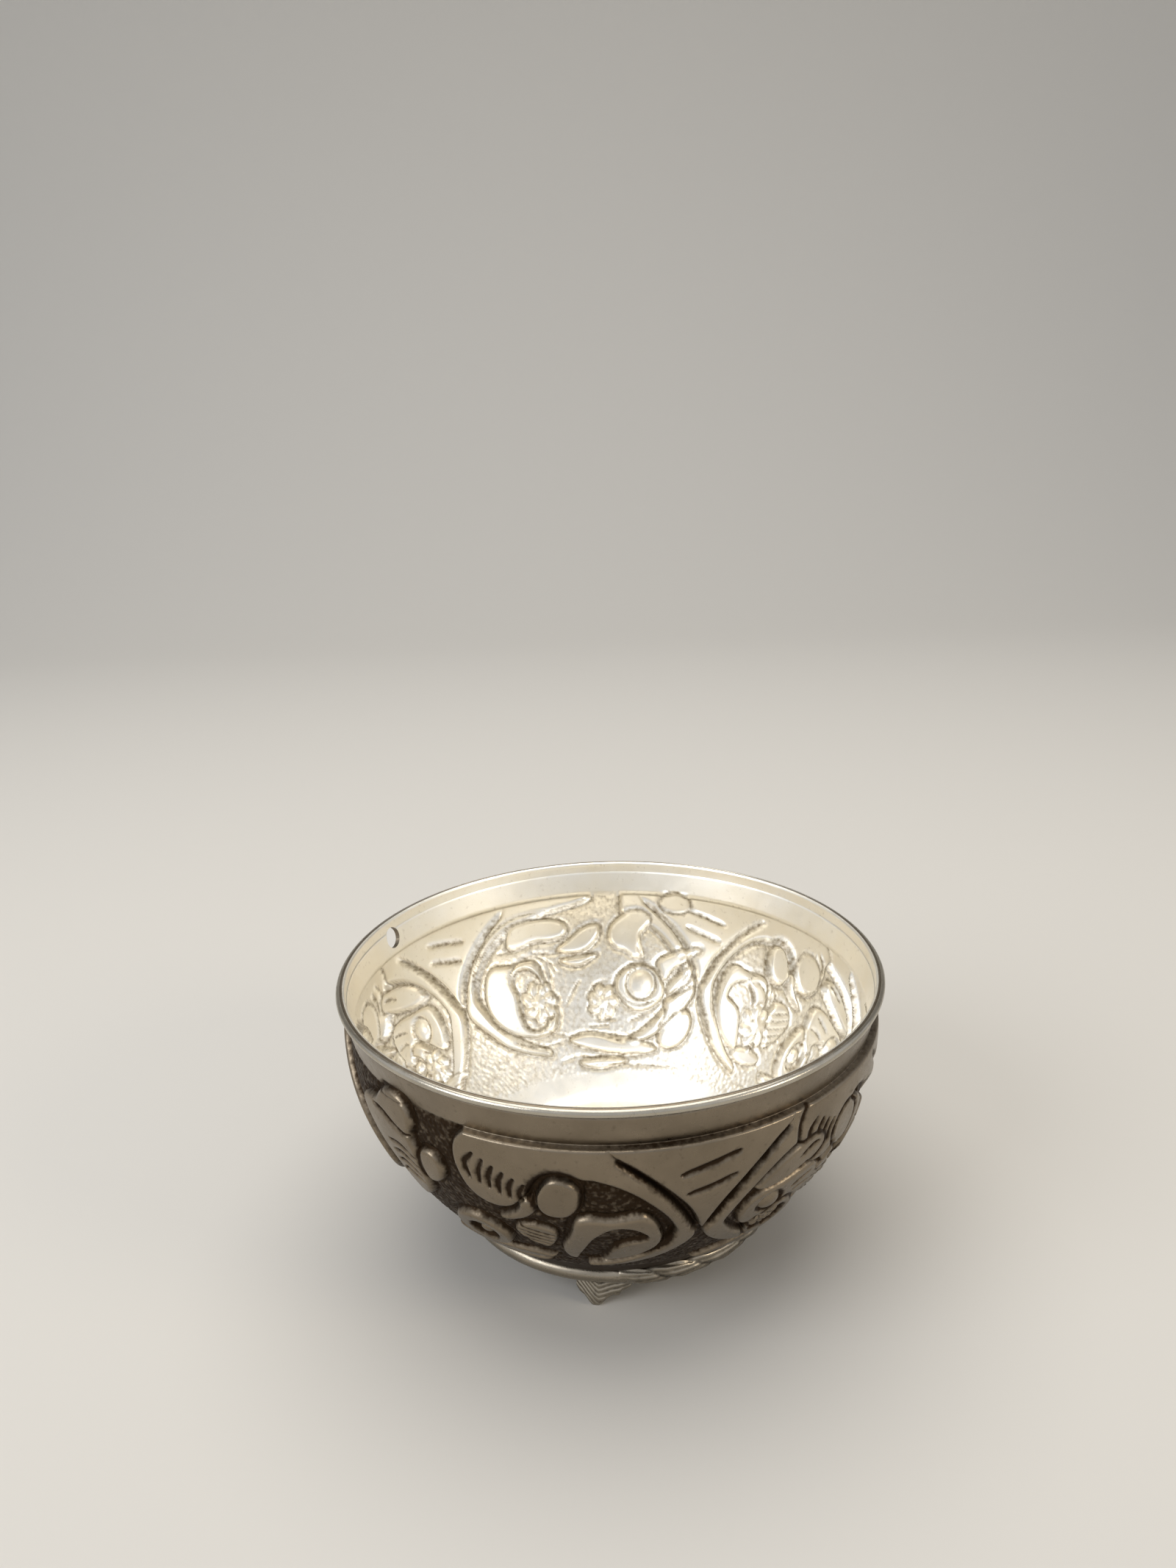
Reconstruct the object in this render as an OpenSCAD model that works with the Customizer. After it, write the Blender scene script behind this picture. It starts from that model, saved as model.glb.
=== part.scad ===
// Offering bowl in chased silver: a bowl raised from one sheet, its wall embossed from
// inside with scrolls and leaves, a half-round wire round the lip, a ring under the base
// and three small cast feet. The origin is on the table under the middle of the bowl.
// Azimuths are in degrees seen from above, from the front of the bowl towards its right.

/* [Bowl] */
// Diameter over the lip wire
rim_d = 85; // [76:1:100]
// Height from the table to the top of the lip
bowl_h = 46; // [42:1:56]
// Thickness of the silver sheet
sheet_t = 0.8; // [0.6:0.1:1.1]
// Depth of the plain band under the lip, down to its chased line
band_h = 6.1; // [5:0.1:7]
// How far the band draws in from the wire down to its chased line
band_lean = 1.2; // [0:0.1:1.5]
// Radius of the upper handle of the wall's curve
belly_r = 41.4; // [38:0.2:46]
// Height above the table of the upper handle of the wall's curve
belly_z = 28; // [22:1:34]
// Radius of the lower handle, which draws the wall in to the base
turn_r = 35.5; // [32:0.5:39]
// Height above the table of the lower handle
turn_z = 16.4; // [12:0.2:20]
// Diameter of the corner where the wall meets the floor
base_d = 46.6; // [42:0.2:54]

/* [Lip wire] */
// How far the half-round wire stands out from the sheet
wire_w = 0.6; // [0.4:0.1:1.2]
// Height of the wire
wire_h = 1.2; // [0.8:0.1:1.25]

/* [Hang hole] */
// Diameter of the drilled hole in the plain band
hole_d = 3.6; // [2:0.1:3.6]
// Depth of the hole's middle below the top of the lip
hole_drop = 3.1; // [3.05:0.05:3.2]
// Azimuth of the hole
hole_azimuth = 245; // [0:1:359]

/* [Base] */
// Diameter of the round wire that the base ring is made of
ring_d = 1.6; // [1.2:0.1:2.2]
// How far the ring's middle lies below the underside of the floor
ring_drop = 0.4; // [0.2:0.05:0.5]
// Diameter of the raised border on the floor
medallion_d = 31; // [24:0.5:36]
// Width of that border
medallion_w = 1.2; // [0.8:0.1:2]
// How far the border stands up from the floor
medallion_h = 0.4; // [0.2:0.1:0.6]

/* [Feet] */
// Height from the table to the underside of the base ring
foot_h = 4.2; // [3:0.1:6]
// Azimuth of the front foot
foot_azimuth = 352; // [0:1:359]
// Width of the foot's leaf where it meets the ring
leaf_w = 6.4; // [5:0.1:8]
// Width of the foot's toe on the table
toe_w = 1.2; // [0.8:0.1:2]
// Thickness of the foot at the ring
foot_t = 1.5; // [1.3:0.1:1.6]
// Thickness of the toe
toe_t = 1.1; // [0.8:0.1:1.4]
// How far the toe stands out past the middle of the ring
toe_out = 0.3; // [0:0.1:0.8]
// Diameter of the scroll at the leaf's right side
curl_d = 2.3; // [1.6:0.1:3]
// Distance of the scroll's middle from the middle of the foot
curl_x = 3.9; // [3:0.1:5]
// Height of the scroll's middle above the table
curl_z = 3.2; // [2.6:0.1:4]
// Radius of each of the three flutes across the leaf
flute_r = 0.45; // [0.3:0.05:0.6]
// Depth that a flute is cut into the leaf
flute_cut = 0.22; // [0.1:0.02:0.3]
// Distance from one flute to the next
flute_pitch = 0.85; // [0.7:0.05:1]

/* [Embossing] */
// Height that the scrolls stand up from the ground
relief_h = 1.1; // [0.6:0.1:1.5]
// Width of the slope at the edge of a raised form
slope_w = 2.1; // [1.8:0.1:3]
// Half the width of a large scroll's band at its upper end
scroll_r = 1.9; // [1.6:0.1:2.4]
// Half the width of the band at its lower end
scroll_end_r = 1.4; // [1.2:0.1:2]
// Radius of the round end of the broad leaf that springs from the scroll
leaf_r = 5.2; // [4.6:0.1:6]
// Half the width of the neck of that leaf
leaf_neck_r = 3.2; // [2.6:0.1:3.8]
// Radius of the knuckles and lobes beside the leaves
lobe_r = 2.6; // [2.2:0.1:3.2]
// Half the width of the horseshoe inside a large scroll and of the small leaves
horseshoe_r = 1.7; // [1.5:0.1:2.4]
// Half the width of stems and thin leaves
stem_r = 1.4; // [1.2:0.1:1.8]
// Radius of the tips that leaves and spikes end in
tip_r = 0.8; // [0.6:0.1:1.2]
// Radius of the round scroll, to the middle of its band
round_r = 4.3; // [3.6:0.1:4.8]
// Radius of the coil in the middle of the back panel
coil_r = 4.4; // [3.8:0.1:5]
// Radius of a rosette
rosette_r = 4.3; // [3.6:0.1:5]
// Radius of the boss in the middle of a rosette
boss_r = 1.8; // [1.2:0.1:2.4]
// How far the embossing stays back from the lip wire's outer edge
lip_gap = 0.05; // [0.02:0.01:0.3]

/* [Hidden] */
$fn = 96;

silver = "#b9b3a6";
silver_dark = "#8d877b";

// What every cut runs past the face that it opens
overrun = 2;
feet = 3;

// The band stands upright behind the wire and leans in below it
band_r = rim_d / 2 - wire_w;
line_r = band_r - band_lean;
line_z = bowl_h - band_h;
lean_h = band_h - wire_h;
lean = atan2(band_lean, lean_h);
corner_r = base_d / 2;
ring_z = foot_h + ring_d / 2;
floor_z = ring_z + ring_drop;

// The wall's outer profile, as radius and height: a cubic curve from the band's line
// through two handles to the corner at the base
wall_handles = [[line_r, line_z], [belly_r, belly_z], [turn_r, turn_z], [corner_r, floor_z]];
function wall_point(t) =
    let (p = wall_handles, s = 1 - t)
    s * s * s * p[0] + 3 * s * s * t * p[1] + 3 * s * t * t * p[2] + t * t * t * p[3];
function wall_slope(t) =
    let (p = wall_handles, s = 1 - t)
    3 * s * s * (p[1] - p[0]) + 6 * s * t * (p[2] - p[1]) + 3 * t * t * (p[3] - p[2]);
// Unit normal of the profile, pointing out of the bowl
function wall_normal(t) = let (d = wall_slope(t)) [-d.y, d.x] / norm(d);

wall_steps = 40;
function wall_run(k) =
    k == 0 ? 0 : wall_run(k - 1) + norm(wall_point(k / wall_steps) - wall_point((k - 1) / wall_steps));
wall_l = wall_run(wall_steps);

// The embossed belt: a grid of columns round the bowl and rows down the wall
columns = 125;
rows = 21;
// Share of the wall that the belt's thinned edges reach into the band and the base
edge_share = 0.03;
// Share of the wall between the band's line and the first row, which is still plain
line_share = 0.01;
// Share of the wall that belongs to the base, at the wall's foot
base_share = 0.07;

// Azimuths where two scrolls meet back to back. The smith spaced the five panels by eye.
joins = [16.7, 83, 152, 226, 299];
panels = len(joins);
panel_arc = 2 * PI * band_r / panels;

// How far the forms to the left of each join are drawn in to fit their panel
stretch_shares = [1, 0.95, 0.84, 1, 1];
// The join whose left side holds the coil and the spikes, the joins that have a plain field
// with a scroll to its right, and those that have more forms to their right
coil_join = 3;
field_joins = [0, 1, 2, 3];
right_joins = [0, 1, 3];
// The join with the tall leaf at the far left of its panel
tall_leaf_join = 0;

// Points of the motifs: across from a join as a share of a panel's arc, and down as a
// share of the wall
scroll_shares = [[0.3, 0.06], [0.2, 0.14], [0.12, 0.24], [0.06, 0.36], [0.04, 0.45], [0.08, 0.55], [0.18, 0.68], [0.32, 0.76]];
broad_leaf_shares = [[0.28, 0.04], [0.44, 0.03], [0.56, 0.13], [0.59, 0.17]];
knuckle_shares = [[0.39, 0.2], [0.4, 0.23]];
branch_shares = [[0.47, 0.24], [0.49, 0.3], [0.56, 0.35]];
horseshoe_shares = [[0.385, 0.65], [0.37, 0.5], [0.345, 0.4], [0.3, 0.335], [0.22, 0.32], [0.16, 0.36]];
horseshoe_lobe_shares = [[0.14, 0.4], [0.16, 0.49], [0.19, 0.58]];
horseshoe_side_shares = [[0.19, 0.38], [0.185, 0.47], [0.2, 0.56], [0.27, 0.64], [0.37, 0.63]];
horseshoe_top_shares = [[0.39, 0.5], [0.37, 0.34], [0.28, 0.315], [0.19, 0.33]];
hatched_leaf_shares = [[0.48, 0.44], [0.46, 0.57]];
round_scroll_shares = [0.67, 0.55];
lower_leaf_shares = [[0.5, 0.73], [0.66, 0.76], [0.84, 0.78]];
tall_leaf_shares = [[0.91, 0.07], [0.9, 0.2], [0.86, 0.37]];
tall_tip_shares = [[1.05, 0.1], [0.98, 0.16], [0.92, 0.24]];
tall_lobe_shares = [[0.77, 0.2], [0.78, 0.24]];
strip_shares = [[0.27, 0.05], [0.42, 0.02], [0.55, 0.01]];
cap_leaf_shares = [[0.18, 0.26], [0.27, 0.21], [0.35, 0.18]];
trim_leaf_shares = [[0.17, 0.45], [0.2, 0.38], [0.28, 0.37], [0.36, 0.38], [0.38, 0.42]];
round_leaf_shares = [[0.49, 0.19], [0.5, 0.21]];
back_leaf_shares = [[0.28, 0.17], [0.36, 0.16], [0.45, 0.16]];
back_tip_shares = [[0.47, 0.27], [0.54, 0.23], [0.6, 0.18]];
back_crescent_shares = [[0.46, 0.34], [0.53, 0.335], [0.6, 0.31]];
back_up_shares = [[0.76, 0.3], [0.72, 0.22], [0.75, 0.14]];
knob_shares = [[0.88, 0.04], [0.93, 0.03]];
coil_shares = [[0.75, 0.47], [0.81, 0.47]];
spike_shares = [
    [[0.87, 0.38], [0.93, 0.32], [1.01, 0.26]],
    [[0.9, 0.48], [0.95, 0.42], [0.99, 0.35]],
    [[0.9, 0.6], [0.96, 0.54], [1, 0.46]]
];
foot_leaf_shares = [[0.93, 0.69], [0.98, 0.63]];
// Rosettes to the left of a join, to the left of the coil's join, to the right of a join
rosette_left_shares = [0.36, 0.53];
rosette_coil_shares = [[0.34, 0.51], [0.62, 0.55]];
rosette_right_shares = [0.25, 0.58];
// The ball beside the leaf to the right of a join
ball_shares = [0.23, 0.405];
// Half the width, as a share of the panel's arc, of the plain field between two scrolls
// at each share down the wall
field_shares = [[0, 0.24], [0.1, 0.19], [0.18, 0.12], [0.26, 0.06], [0.36, 0.02], [0.45, 0], [0.5, -0.03]];

function along(shares) = [for (p = shares) [p.x * panel_arc, p.y * wall_l]];

// A smooth curve through the points, with a few steps for each span
spline_steps = 3;
function spline_point(p, i, f) =
    let (a = p[max(i - 1, 0)], b = p[i], c = p[i + 1], d = p[min(i + 2, len(p) - 1)])
    b + f / 2 * (c - a) + f * f * (a - 2.5 * b + 2 * c - d / 2) + f * f * f * (1.5 * (b - c) + (d - a) / 2);
function spline(p) = [
    for (i = [0 : len(p) - 2]) for (k = [0 : spline_steps - 1]) spline_point(p, i, k / spline_steps),
    p[len(p) - 1]
];

// A stroke is a raised band along a curve. Each short length of it holds its two ends,
// the band's half width at each and the band's height.
function stroke(shares, r_start, r_end, height) =
    let (p = spline(along(shares)), n = len(p) - 1, taper = (r_end - r_start) / n)
    [for (i = [0 : n - 1]) [p[i], p[i + 1], r_start + taper * i, r_start + taper * (i + 1), height]];

// How high the smaller motifs stand, as shares of the scrolls' height
leaf_share = 0.9;
low_share = 0.65;
petal_share = 0.85;
leaf_h = relief_h * leaf_share;
low_h = relief_h * low_share;

scroll = stroke(scroll_shares, scroll_r, scroll_end_r, relief_h);
left_forms = concat(
    scroll,
    stroke(broad_leaf_shares, leaf_neck_r, leaf_r, relief_h),
    stroke(branch_shares, stem_r, tip_r, relief_h),
    stroke(knuckle_shares, lobe_r, lobe_r, leaf_h),
    stroke(horseshoe_shares, horseshoe_r, horseshoe_r, relief_h),
    stroke(horseshoe_lobe_shares, horseshoe_r, lobe_r, relief_h),
    stroke(hatched_leaf_shares, lobe_r, stem_r, low_h),
    stroke(lower_leaf_shares, stem_r, stem_r, low_h)
);
tall_forms = concat(
    left_forms,
    stroke(tall_leaf_shares, leaf_r, horseshoe_r, relief_h),
    stroke(tall_tip_shares, tip_r, lobe_r, relief_h),
    stroke(tall_lobe_shares, lobe_r, lobe_r, leaf_h)
);
coil_forms = concat(
    scroll,
    stroke(strip_shares, leaf_neck_r, tip_r, relief_h),
    stroke(horseshoe_side_shares, leaf_neck_r, stem_r, relief_h),
    stroke(horseshoe_top_shares, tip_r, stem_r, relief_h),
    stroke(back_leaf_shares, horseshoe_r, lobe_r, leaf_h),
    stroke(back_tip_shares, tip_r, horseshoe_r, leaf_h),
    stroke(back_crescent_shares, tip_r, tip_r, low_h),
    stroke(back_up_shares, horseshoe_r, leaf_neck_r, leaf_h),
    stroke(knob_shares, horseshoe_r, horseshoe_r, leaf_h),
    stroke(coil_shares, coil_r, coil_r, leaf_h),
    [for (s = spike_shares) each stroke(s, horseshoe_r, tip_r, leaf_h)],
    stroke(foot_leaf_shares, lobe_r, leaf_neck_r, leaf_h),
    stroke(lower_leaf_shares, stem_r, stem_r, low_h)
);
right_forms = concat(
    stroke(strip_shares, leaf_neck_r, tip_r, relief_h),
    stroke(cap_leaf_shares, stem_r, lobe_r, leaf_h),
    stroke(trim_leaf_shares, lobe_r, lobe_r, low_h),
    stroke(round_leaf_shares, lobe_r, lobe_r, leaf_h)
);

function fade(f) = let (g = min(max(f, 0), 1)) g * g * (3 - 2 * g);
// Share of a form's height at a depth in from its edge
function flat_top(depth) = fade(0.5 + depth / slope_w);
function length_height(p, s) =
    let (
        d = s[1] - s[0],
        f = min(max((p - s[0]) * d / (d * d), 0), 1),
        r = s[2] + (s[3] - s[2]) * f
    )
    s[4] * flat_top(r - norm(p - s[0] - d * f));
motif_reach = panel_arc / 5;
function forms_height(p, forms) = max([
    0,
    for (s = forms) if (abs(p.x - s[0].x) < motif_reach && abs(p.y - s[0].y) < motif_reach) length_height(p, s)
]);
function field_height(p) = relief_h * flat_top(lookup(p.y / wall_l, field_shares) * panel_arc - abs(p.x));

// A rosette: petals that swirl round a boss
petals = 7;
petal_dip_share = 0.25;
function ball_height(d) = relief_h * sqrt(max(1 - pow(norm(d) / boss_r, 2), 0));
function round_height(p) =
    let (d = p - along([round_scroll_shares])[0])
    max(relief_h * flat_top(stem_r - abs(norm(d) - round_r)), leaf_share * ball_height(d));
function rosette_height(p, at) =
    let (
        d = p - along([at])[0],
        q = norm(d) / rosette_r,
        swirl = petals * atan2(d.y, d.x) + 180 * q,
        petal = 1 - petal_dip_share + petal_dip_share * cos(swirl)
    )
    max(ball_height(d), relief_h * petal_share * petal * fade(2 * q) * fade(3 - 3 * q));

// Height of the forms of one join at a distance to its right and down the wall. The left
// side of each panel has the coil, the tall leaf or the common set.
function holds(list, k) = len([for (i = list) if (i == k) i]) > 0;
function left_height(k, p) =
    k == coil_join ? max(forms_height(p, coil_forms), max([for (at = rosette_coil_shares) rosette_height(p, at)]))
    : k == tall_leaf_join ? max(forms_height(p, tall_forms), round_height(p))
    : max(forms_height(p, left_forms), round_height(p), rosette_height(p, rosette_left_shares));
function right_height(k, p) = max(
    holds(field_joins, k) ? max(field_height(p), forms_height(p, scroll)) : 0,
    holds(right_joins, k) ? max(
        forms_height(p, right_forms),
        rosette_height(p, rosette_right_shares),
        ball_height(p - along([ball_shares])[0])
    ) : 0
);
function join_height(k, across, down) =
    max(left_height(k, [-across / stretch_shares[k], down]), right_height(k, [across, down]));

// Height of the embossing at an azimuth and a share of the way down the wall. It fades
// out under the band's line and above the base, and stays inside the lip wire.
fade_top_share = 0.035;
fade_foot_share = 0.05;
function turned(azimuth) = (azimuth + 900) % 360 - 180;
function room(f) = f < 0 ? 0 : (rim_d / 2 - lip_gap - wall_point(f).x) / wall_normal(f).x;
function relief_at(azimuth, f) =
    let (h = max([
        for (k = [0 : panels - 1])
            let (across = turned(azimuth - joins[k]) * PI / 180 * band_r)
            if (abs(across) < 1.1 * panel_arc) join_height(k, across, f * wall_l)
    ]))
    min(h * fade((f - line_share) / fade_top_share) * fade((1 - base_share - f) / fade_foot_share), room(f));

// One ring of the belt: its share down the wall and the thickness of the sheet there
belt_rings = concat(
    [[-edge_share, sheet_t / 2]],
    [for (i = [0 : rows]) [line_share + (1 - base_share - edge_share - line_share) * i / rows, sheet_t]],
    [[1 - base_share + edge_share, sheet_t / 2]]
);

// Middle of the sheet's leaning band at a height
function band_middle(z) = line_r - sheet_t / 2 + band_lean * (z - line_z) / lean_h;
// Middle of the sheet at a share of the wall. Above the line it follows the plain band.
function sheet_middle(f) =
    f < 0
    ? let (z = line_z - f * wall_l) [band_middle(z), z]
    : wall_point(f) - wall_normal(f) * sheet_t / 2;
function sheet_normal(f) = f < 0 ? [cos(lean), -sin(lean)] : wall_normal(f);
function around(p, azimuth) = [p.x * sin(azimuth), -p.x * cos(azimuth), p.y];

belt_heights = [for (ring = belt_rings) [for (j = [0 : columns - 1]) relief_at(j * 360 / columns, ring[0])]];
function belt_points(side) = [
    for (i = [0 : len(belt_rings) - 1]) for (j = [0 : columns - 1])
        let (
            ring = belt_rings[i],
            p = sheet_middle(ring[0]) + sheet_normal(ring[0]) * (belt_heights[i][j] + side * ring[1] / 2)
        )
        around(p, j * 360 / columns)
];

module relief_belt() {
    n = len(belt_rings);
    inner = n * columns;
    faces = concat(
        [for (i = [0 : n - 2]) for (j = [0 : columns - 1]) let (k = (j + 1) % columns)
            [i * columns + j, i * columns + k, (i + 1) * columns + k]],
        [for (i = [0 : n - 2]) for (j = [0 : columns - 1]) let (k = (j + 1) % columns)
            [i * columns + j, (i + 1) * columns + k, (i + 1) * columns + j]],
        [for (i = [0 : n - 2]) for (j = [0 : columns - 1]) let (k = (j + 1) % columns)
            [inner + i * columns + j, inner + (i + 1) * columns + k, inner + i * columns + k]],
        [for (i = [0 : n - 2]) for (j = [0 : columns - 1]) let (k = (j + 1) % columns)
            [inner + i * columns + j, inner + (i + 1) * columns + j, inner + (i + 1) * columns + k]],
        [for (j = [0 : columns - 1]) let (k = (j + 1) % columns)
            [j, inner + k, k]],
        [for (j = [0 : columns - 1]) let (k = (j + 1) % columns)
            [j, inner + j, inner + k]],
        [for (j = [0 : columns - 1]) let (k = (j + 1) % columns, e = (n - 1) * columns)
            [e + j, e + k, inner + e + k]],
        [for (j = [0 : columns - 1]) let (k = (j + 1) % columns, e = (n - 1) * columns)
            [e + j, inner + e + k, inner + e + j]]
    );
    polyhedron(concat(belt_points(1), belt_points(-1)), faces);
}

module rim_band() {
    rotate_extrude()
        polygon([
            [band_r, bowl_h],
            [band_r, bowl_h - wire_h],
            [line_r, line_z],
            [line_r - sheet_t, line_z],
            [band_r - sheet_t, bowl_h - wire_h],
            [band_r - sheet_t, bowl_h]
        ]);
}

// Profile of the floor with the lowest part of the wall
base_f = 1 - base_share;
base_top_out = wall_point(base_f);
base_top_in = base_top_out - wall_normal(base_f) * sheet_t;
module base_profile() {
    polygon([
        [0, floor_z],
        [corner_r, floor_z],
        base_top_out,
        base_top_in,
        [corner_r - sheet_t / 2, floor_z + sheet_t],
        [0, floor_z + sheet_t]
    ]);
}
module base_dish() {
    rotate_extrude() base_profile();
    // The raised border round the middle of the floor
    translate([0, 0, floor_z + sheet_t])
        rotate_extrude()
            translate([medallion_d / 2 - medallion_w / 2, 0])
                intersection() {
                    translate([medallion_w / 2, medallion_h - medallion_w / 2]) circle(d = medallion_w);
                    translate([0, -medallion_h]) square([medallion_w, 2 * medallion_h]);
                }
}

// The hole is drilled square to the leaning band
module hang_hole() {
    hole_z = bowl_h - hole_drop;
    rotate([0, 0, hole_azimuth])
        translate([0, -band_middle(hole_z), hole_z])
            rotate([90 + lean, 0, 0])
                cylinder(d = hole_d, h = sheet_t + 2 * overrun, center = true);
}

// The bowl itself, one raised sheet from lip to floor
module bowl_shell() {
    color(silver)
        difference() {
            union() {
                rim_band();
                relief_belt();
                base_dish();
            }
            hang_hole();
        }
}

// Half-round wire soldered round the outside of the lip
module rim_wire() {
    color(silver)
        translate([0, 0, bowl_h - wire_h])
            rotate_extrude()
                translate([band_r, 0])
                    intersection() {
                        square([wire_w, wire_h]);
                        translate([wire_w - wire_h / 2, wire_h / 2]) circle(d = wire_h);
                    }
}

// Round wire soldered under the corner of the base
module ring_solid() {
    rotate_extrude()
        difference() {
            translate([corner_r, ring_z]) circle(d = ring_d, $fn = 48);
            base_profile();
        }
}
module base_ring() {
    color(silver_dark) ring_solid();
}

// Front of a foot: a leaf that narrows to the toe, with a small scroll at its right
leaf_hip_share = 0.62;
flutes = 3;
module foot_front_outline() {
    hip_z = foot_h * leaf_hip_share;
    polygon([
        [-toe_w / 2, 0],
        [toe_w / 2, 0],
        [leaf_w / 4, hip_z * 0.75],
        [leaf_w / 2, foot_h],
        [leaf_w / 2, foot_h + ring_d / 2],
        [-leaf_w / 2, foot_h + ring_d / 2],
        [-leaf_w / 2, hip_z]
    ]);
    translate([curl_x, curl_z]) circle(d = curl_d);
    translate([0, curl_z]) square([curl_x, foot_h + ring_d / 2 - curl_z]);
}
// Side of a foot, as distance outwards from the ring's middle and height, with the
// flutes across the front of the leaf
function foot_front_at(z) = toe_out + (foot_t / 2 - toe_out) * z / foot_h;
module foot_side_outline() {
    difference() {
        polygon([
            [toe_out - toe_t, 0],
            [toe_out, 0],
            [foot_t / 2, foot_h],
            [foot_t / 2, foot_h + ring_d / 2],
            [-foot_t / 2, foot_h + ring_d / 2],
            [-foot_t / 2, foot_h * leaf_hip_share]
        ]);
        for (i = [1 : flutes])
            let (z = flute_pitch * i)
                translate([foot_front_at(z) + flute_r - flute_cut, z]) circle(r = flute_r, $fn = 32);
    }
}
module foot() {
    color(silver_dark)
        difference() {
            intersection() {
                translate([0, -corner_r, 0])
                    rotate([90, 0, 0])
                        linear_extrude(height = 2 * ring_d + 2 * foot_t, center = true) foot_front_outline();
                rotate_extrude()
                    translate([corner_r, 0]) foot_side_outline();
            }
            ring_solid();
        }
}
module foot_at(i) {
    rotate([0, 0, foot_azimuth + i * 360 / feet]) foot();
}
module foot_front() {
    foot_at(0);
}
module foot_back_right() {
    foot_at(1);
}
module foot_back_left() {
    foot_at(2);
}

bowl_shell();
rim_wire();
base_ring();
foot_front();
foot_back_right();
foot_back_left();
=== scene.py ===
"""Offering bowl in chased silver.

The bowl is one raised sheet. Its wall is embossed from the inside with scrolls and
leaves, then chased and punched from the outside. A half-round wire runs round the lip,
a bead round the base, and three small cast feet stand under the bead.

Lengths in tables are millimetres. Azimuths are degrees seen from above, from the front
of the bowl towards its right.
"""

import bpy
import numpy as np
from bpy.props import FloatProperty, FloatVectorProperty, IntProperty, PointerProperty
from bpy.types import Operator, Panel, PropertyGroup
from mathutils import Matrix, Vector


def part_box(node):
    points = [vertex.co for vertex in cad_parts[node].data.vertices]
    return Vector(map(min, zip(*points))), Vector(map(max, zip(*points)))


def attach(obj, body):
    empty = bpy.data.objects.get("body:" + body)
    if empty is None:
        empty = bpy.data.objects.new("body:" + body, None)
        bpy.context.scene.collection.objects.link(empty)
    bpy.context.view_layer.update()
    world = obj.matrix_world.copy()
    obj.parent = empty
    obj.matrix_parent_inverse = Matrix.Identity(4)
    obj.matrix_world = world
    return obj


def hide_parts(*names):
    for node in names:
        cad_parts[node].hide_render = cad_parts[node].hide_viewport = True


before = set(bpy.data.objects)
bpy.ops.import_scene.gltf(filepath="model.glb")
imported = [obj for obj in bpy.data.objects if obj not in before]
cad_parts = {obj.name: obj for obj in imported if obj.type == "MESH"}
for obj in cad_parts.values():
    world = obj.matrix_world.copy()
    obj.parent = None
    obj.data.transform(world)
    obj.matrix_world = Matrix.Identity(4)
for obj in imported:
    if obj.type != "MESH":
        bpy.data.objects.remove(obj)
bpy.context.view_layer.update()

bl_info = {
    "name": "Offering Bowl",
    "version": (1, 0, 0),
    "blender": (4, 5, 0),
    "location": "3D View > Sidebar > Offering Bowl",
    "description": "Builds a small chased silver offering bowl on its packed frame",
    "category": "Add Mesh",
}

MM = 0.001

# The sheet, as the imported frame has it
LIP_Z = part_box("bowl_shell")[1].z / MM
WIRE_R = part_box("rim_wire")[1].x / MM
WIRE_WIDE = 0.6
WIRE_HIGH = (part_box("rim_wire")[1].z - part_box("rim_wire")[0].z) / MM
BAND_R = WIRE_R - WIRE_WIDE
BAND_HIGH = 6.1
# How far the band draws in below the wire, down to its chased line, and its slope
BAND_LEAN = 1.2
LEAN_SLOPE = BAND_LEAN / (BAND_HIGH - WIRE_HIGH)
SHEET = 0.8
FLOOR_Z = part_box("bowl_shell")[0].z / MM
# The groove under the wire: its depth, its width and how far below the wire it lies
GROOVE_DEEP, GROOVE_WIDE, GROOVE_DROP = 0.22, 0.2, 0.12
# The foot of the wall, fitted to the photograph: a little wider and higher than the frame's
BASE_R = 23.8
BASE_Z = 6.2
# The bead that covers the joint of wall and floor: its own radius and its middle
BEAD_R = 1.28
BEAD_AT = 24.35
BEAD_Z = 6.45
# Radius at which the feet stand
FOOT_R = 22.9
# Handles of the wall's curve, from the chased line under the band to the base
WALL_HANDLES = np.array([
    (BAND_R - BAND_LEAN, LIP_Z - BAND_HIGH), (41.4, 28.0), (34.9, 17.2), (BASE_R, BASE_Z),
])
# Radius at which the wall's sheet hands over to the floor's
FLOOR_SEAM_R = 18.0

# Azimuths of the joins. Two scrolls meet back to back there, but only one at the last
JOINS = (16.7, 83.0, 152.0, 226.0, 299.0)
BACK_JOIN, LAST_JOIN = 3, 4
# The joins that have leaves and a flower to their right, and those with a matted leaf
RIGHT_JOINS = (0, 1, 3)
MATTED_JOINS = (1, 2)
HOLE_AZIMUTH = 245.0
HOLE_R = 1.8
HOLE_DROP = 3.1
FOOT_AZIMUTHS = {"foot_front": 352.0, "foot_back_right": 112.0, "foot_back_left": 232.0}

# Columns round the bowl, the panels that they are cut into, and the first cut's azimuth
COLUMNS = 1440
PANELS = 5
PANELS_FROM = 17
# Rows of the lip and of the band, and those of the band above the hole's middle
LIP_ROWS = 6
BAND_ROWS = 30
ROWS_TO_HOLE = 14
# Rows of the wall, fine down to a distance and coarse below it, and of the floor's edge
FINE_ROWS, COARSE_ROWS, FLOOR_ROWS = 207, 20, 12
FINE_DOWN = 36
# Half the width of the square of grid cells that the drilled hole takes up
HOLE_CELLS = 8
# Length of the wall that the ornament is drawn for, and how far its ground reaches
DRAWN_LONG = 41.2
GROUND_LONG = 36.5
# How far past its outline a form is worked out
MARGIN = 1.6


def linear(code):
    """A hex colour as linear red, green and blue."""
    s = np.array([int(code[i:i + 2], 16) for i in (1, 3, 5)]) / 255
    return tuple(np.where(s <= 0.04045, s / 12.92, ((s + 0.055) / 1.055) ** 2.4))


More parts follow.
